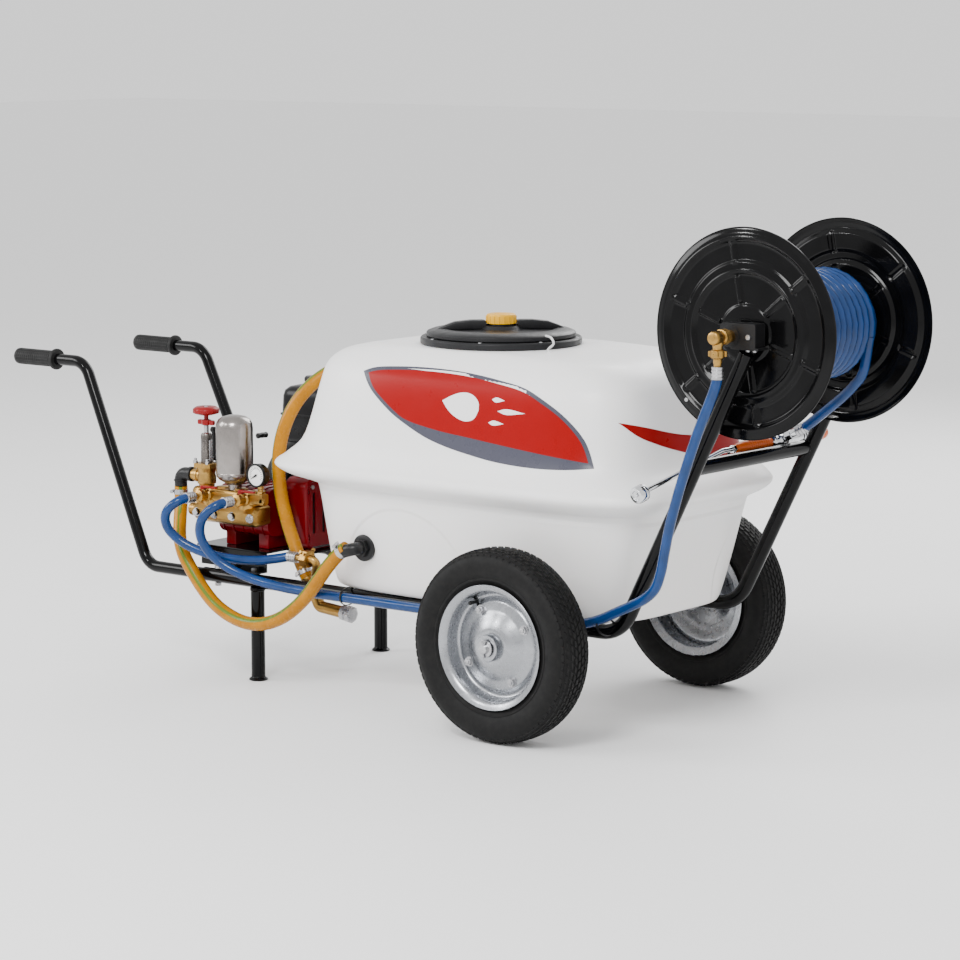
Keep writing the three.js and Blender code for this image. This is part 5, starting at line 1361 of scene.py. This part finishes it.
def add_engine():
    y, z = ENGINE_Y, ENGINE_Z
    engine = Shape().prism(rounded(34, 176, 264, 420, 20), -828, -722)
    engine.prism([(30, 262), (180, 262), (172, 284), (40, 284)], -834, -724, mark=1)
    engine.block((-835, 28, 256.3), (-722, 180, 262), mark=1)
    for x, by in ((-824, 38), (-732, 38), (-824, 170), (-732, 170)):
        engine.rod((x, by, 262), (x, by, 270), 6.5, 6, mark=2)
    engine.lathe("x", [(40, -722), (40, -718), (36, -716), (10.5, -716)], (0, y, z), 48, mark=1)
    for c, s in circle_points(6):
        engine.rod((-722, y + 58 * c, z + 50 * s), (-716, y + 58 * c, z + 50 * s), 4.5, 6, mark=2)
    engine.lathe("x", [(0, -880), (60, -880), (79, -879), (85, -876), (87, -870), (87, -834), (83, -828),
                       (60, -826)],
                 (0, y, z), 72)
    engine.lathe("x", [(0, -912), (30, -912), (50, -911), (60, -907), (68, -899), (72, -886), (72, -880)],
                 (0, y, z), 64)
    for c, s in circle_points(24):
        start = Vector((0, y + 40 * c, z + 40 * s))
        end = Vector((0, y + 64 * c, z + 64 * s))
        engine.tube([start + Vector((-911.5, 0, 0)), end + Vector((-901, 0, 0))], 1.7, 8)
    for c, s in circle_points(3, 0.4):
        engine.rod((-878, y + 78 * c, z + 78 * s), (-882, y + 78 * c, z + 78 * s), 4, 6, mark=2)
    engine.prism(rounded(60, 170, 415, 448, 6), -815, -735)
    for k in range(7):
        engine.block((-812, 168, 322 + k * 11), (-738, 196, 325 + k * 11), mark=1)
    engine.block((-806, 168, 318), (-744, 190, 398), mark=1)
    engine.prism(rounded(198, 244, 400, 486, 10), -764, -690, mark=2)
    for k in range(6):
        engine.block((-756 + k * 11, 243.2, 412), (-751 + k * 11, 244.6, 474))
    engine.rod((-750, 170, 425), (-750, 200, 425), 9, 24, mark=2)
    engine.rod((-692, 222, 445), (-676, 222, 445), 8, 24, mark=2)
    engine.block((-765, 196, 486), (-690, 246, 488.4))
    engine.build("small_petrol_engine", "frame", "engine_paint", [ENGINE_PAINT, ALUMINIUM, STEEL],
                 "engine_body", bevel=1.0)

    grip = Shape().lathe("y", [(4, 32), (6, 34), (5.4, 40), (6, 47), (5.4, 54), (6, 60), (4, 62)],
                         (-918, 0, 452), 24)
    grip.block((-914, 43, 448), (-906, 51, 456))
    grip.build("starter_grip", "recoil_handle", "black_plastic", BLACK_PLASTIC, "recoil_handle", bevel=0.6)

    tank = Shape()
    shell = [(448.3, 16), (450, 8), (455, 3), (462, 1), (505, 1), (505.5, -2), (509, -2), (509.5, 1),
             (545, 2.5),
             (556, 5), (563, 12), (566, 24)]
    tank.rings([[(x, y, z) for x, y in rounded(-839 + inset, -701 - inset, 7 + inset, 178 - inset, 22, 6)]
                for z, inset in shell])
    tank.rod((-782, 60, 564), (-782, 60, 572), 16, 40, mark=1)
    tank.build("fuel_tank_shell", "frame", "engine_paint", [ENGINE_PAINT, STEEL], "fuel_tank", bevel=0.6)
    cap = Shape().lathe("z", [(0, 572.3), (20, 572.3), (21.6, 574), (21.6, 581), (19.5, 584), (8, 585),
                              (0, 585)],
                        (-782, 60, 0), 48)
    for c, s in circle_points(24):
        start = Vector((-782 + 21.2 * c, 60 + 21.2 * s, 574))
        cap.rod(start, start + Vector((0, 0, 7)), 0.9, 8)
    cap.build("fuel_filler_cap", "fuel_cap", "black_plastic", BLACK_PLASTIC, "fuel_cap", bevel=0.4)
    cleaner = Shape()
    outline = rounded(196.5, 244, 392, 500, 14, 6)
    cleaner.rings([[(x, 220 + (py - 220) * k, 446 + (pz - 446) * k) for py, pz in outline]
                   for x, k in ((-832, 0.9), (-828, 0.98), (-822, 1), (-800, 1), (-799, 0.96), (-797, 0.96),
                                (-796, 1),
                                (-776, 1), (-772, 0.96))])
    cleaner.rod((-802, 220, 499), (-802, 220, 500), 9, 24)
    cleaner.build("air_filter_box", "frame", "black_plastic", BLACK_PLASTIC, "air_cleaner", bevel=0.8)


ALUMINIUM = metal("cast_aluminium", (0.5, 0.5, 0.51), 0.45, (0.36, 0.36, 0.37), scale=500, depth=0.1)


# ---------------------------------------------------------------- ejector

def add_ejector():
    y, jet_y, jet_z = -150, -178, 256
    top, end = Vector((-622, y, 211)), Vector((-600, y, 176))
    body = Shape()
    along = (end - top).normalized()
    reach = (end - top).length
    body.lathe(along, [(9, -1), (14, 0), (14, 6), (12.5, 8), (12.5, 22), (14.5, 24), (14.5, reach)], top, 36)
    body.rod((-628.4, jet_y, jet_z), (-600, jet_y, jet_z), 7, 24)
    body.rod((-606, jet_y, jet_z), (-590, jet_y, jet_z), 19, 6, nose=0.5)
    for sign in (-1, 1):
        for k in (-1, 1):
            body.rod((-598, jet_y + sign * 16, jet_z + k * 14), (-598, jet_y + sign * 21, jet_z + k * 17), 4,
                     16, nose=1)
    body.tube(filleted([(-594, jet_y, jet_z), (-574, jet_y + 2, jet_z - 2), (-606, y, 188)], 9.5), 8.6, 24)
    body.tube(filleted([end, (-590, y, 158), (-520, y, 152)], 12), 12, 28)
    direction = (Vector((-504, y, 150.6)) - Vector((-530, y, 152.8))).normalized()
    body.lathe(direction, [(13, 0), (16, 1), (16, 11), (14, 12), (14, 14), (17, 15), (17, 25), (15, 26),
                           (11, 26)],
               (-530, y, 152.8), 8, mark=1)
    body.build("brass_ejector", "frame", "brass", [BRASS, STEEL], "ejector", bevel=0.6)


# ---------------------------------------------------------------- spray gun

GUN_X, GUN_Z = 303, 534


def add_gun():
    at = (GUN_X, 0, GUN_Z)
    gun = Shape().lathe("y", [(0, -22), (7, -22), (8.4, -16), (9, -8), (11, 0), (11.8, 20), (12, 60),
                              (11.8, 88),
                              (9, 95), (0, 95)], at, 40)
    for k in range(9):
        gun.lathe("y", [(11.4, 18 + k * 7), (12.5, 19.5 + k * 7), (12.5, 21.5 + k * 7), (11.4, 23 + k * 7)],
                  at, 40)
    gun.lathe("y", [(8, 92), (13, 94), (15, 97), (15, 100), (13, 102), (13, 112), (15, 114), (15, 138),
                    (12, 142),
                    (8, 148), (8, 236)], at, 36, mark=1)
    gun.rod((GUN_X, 118, GUN_Z), (GUN_X, 132, GUN_Z), 15.6, 6, mark=2)
    tip = Vector((335.5, 137.3, 552.6))
    start = Vector((GUN_X + 4, 128, GUN_Z + 3))
    gun.rod(start, tip, 7, 24, mark=1)
    gun.rod(start.lerp(tip, 0.35), start.lerp(tip, 0.62), 10, 6, mark=1)
    gun.rod((GUN_X - 22, 156, GUN_Z + 4), (GUN_X - 2, 156, GUN_Z + 4), 3, 16, mark=1)
    for k in range(4):
        gun.lathe("y", [(8, 200 + k * 8), (8.8, 202 + k * 8), (8, 204 + k * 8)], at, 36, mark=2)
    gun.build("spray_gun", "frame", "orange_plastic", [ORANGE_PLASTIC, CHROME, BLACK_PLASTIC], "gun_body",
              bevel=0.4)

    knob = Shape().lathe("y", [(0, 236.3), (11, 236.3), (13, 239), (13.6, 244), (13.6, 268), (12, 278),
                               (9, 283),
                               (0, 284)], at, 40)
    for c, s in circle_points(12):
        start = Vector((GUN_X + 13 * c, 243, GUN_Z + 13 * s))
        knob.rod(start, start + Vector((0, 26, 0)), 1.1, 8)
    knob.build("spray_pattern_knob", "pattern_knob", "orange_plastic", ORANGE_PLASTIC, "gun_pattern_knob",
               bevel=0.4)

    x, y, z = GUN_X - 18, 156, GUN_Z + 4
    lever = Shape().lathe("x", [(3.4, -3), (7, -3), (7, 3), (3.4, 3), (3.4, -3)], (x, y, z), 32)
    lever.rings([[(px, py, pz) for py, pz in ((159, z - 3), (160, z + 3), (184, z + 5), (184, z + 13),
                                              (196, z + 13),
                                               (196, z + 3), (180, z - 3))] for px in (x - 3, x + 3)])
    lever.block((x - 3, 184, z + 8), (GUN_X + 6, 196, z + 13))
    lever.build("gun_lever", "gun_trigger", "red_plastic", RED_PLASTIC, "gun_trigger", bevel=0.8)

    path = filleted([(GUN_X, -22.3, GUN_Z), (GUN_X, -60, GUN_Z), (271, -270, 477.5)], 24)
    lance = Shape().tube(path, 4.5, 24)
    lance.rod((GUN_X, -22.4, GUN_Z), (GUN_X, -30, GUN_Z), 7.5, 6)
    back, nose = Vector((272.5, -261, 480)), Vector((269, -283, 474))
    out = (nose - back).normalized()
    lance.lathe(out, [(9, -2), (14, 0), (16, 3), (16, 7), (15, 8), (16, 9), (16, 19), (14.5, 22), (9, 22.4),
                      (8, 20.4),
                      (3, 20), (2.4, 21.6), (0, 21.6)], back, 44)
    lance.build("chrome_lance", "frame", "chrome", CHROME, "lance", bevel=0.3)


# ---------------------------------------------------------------- stage

def add_light(name, at, size, power, color=(1, 1, 1)):
    light = bpy.data.lights.new(name, "AREA")
    light.size, light.energy, light.color = size, power, color
    lamp = bpy.data.objects.new(name, light)
    lamp.location = at
    lamp.rotation_euler = (Vector(at) - Vector((0, 0, 0.45))).to_track_quat("Z", "Y").to_euler()
    bpy.context.scene.collection.objects.link(lamp)


def add_stage():
    floor_finish = Finish("pale_floor", (0.93, 0.93, 0.93), 0.55, Specular_IOR_Level=0.2)
    floor_finish.vary_roughness(0.04, 3)
    mesh = bpy.data.meshes.new("floor")
    mesh.from_pydata([(x, y, 0) for x, y in ((-30, -30), (30, -30), (30, 30), (-30, 30))], [], [(0, 1, 2, 3)])
    mesh.materials.append(floor_finish.material)
    floor = bpy.data.objects.new("floor", mesh)
    bpy.context.scene.collection.objects.link(floor)
    world = bpy.data.worlds.new("studio")
    world.use_nodes = True
    background = world.node_tree.nodes["Background"]
    background.inputs["Color"].default_value = (1, 1, 1, 1)
    background.inputs["Strength"].default_value = 1.2
    bpy.context.scene.world = world
    add_light("key", (1.2, -3.6, 3.4), 1.4, 170)
    add_light("left_fill", (-3.6, -2.6, 2.4), 1.6, 90)
    add_light("back", (-0.5, 3.6, 2.8), 2.4, 110)
    add_light("sparkle", (-1.6, -3.4, 2.6), 0.3, 30)


# ---------------------------------------------------------------- the cart

add_frame()
add_engine_plate()
add_axle()
for wheel, wheel_side in SIDES:
    add_tyre(wheel, wheel_side)
    add_rim(wheel, wheel_side)
add_decals(add_tank())
add_lid()
add_reel()
add_pump()
add_drive()
add_engine()
add_ejector()
add_gun()
add_stage()
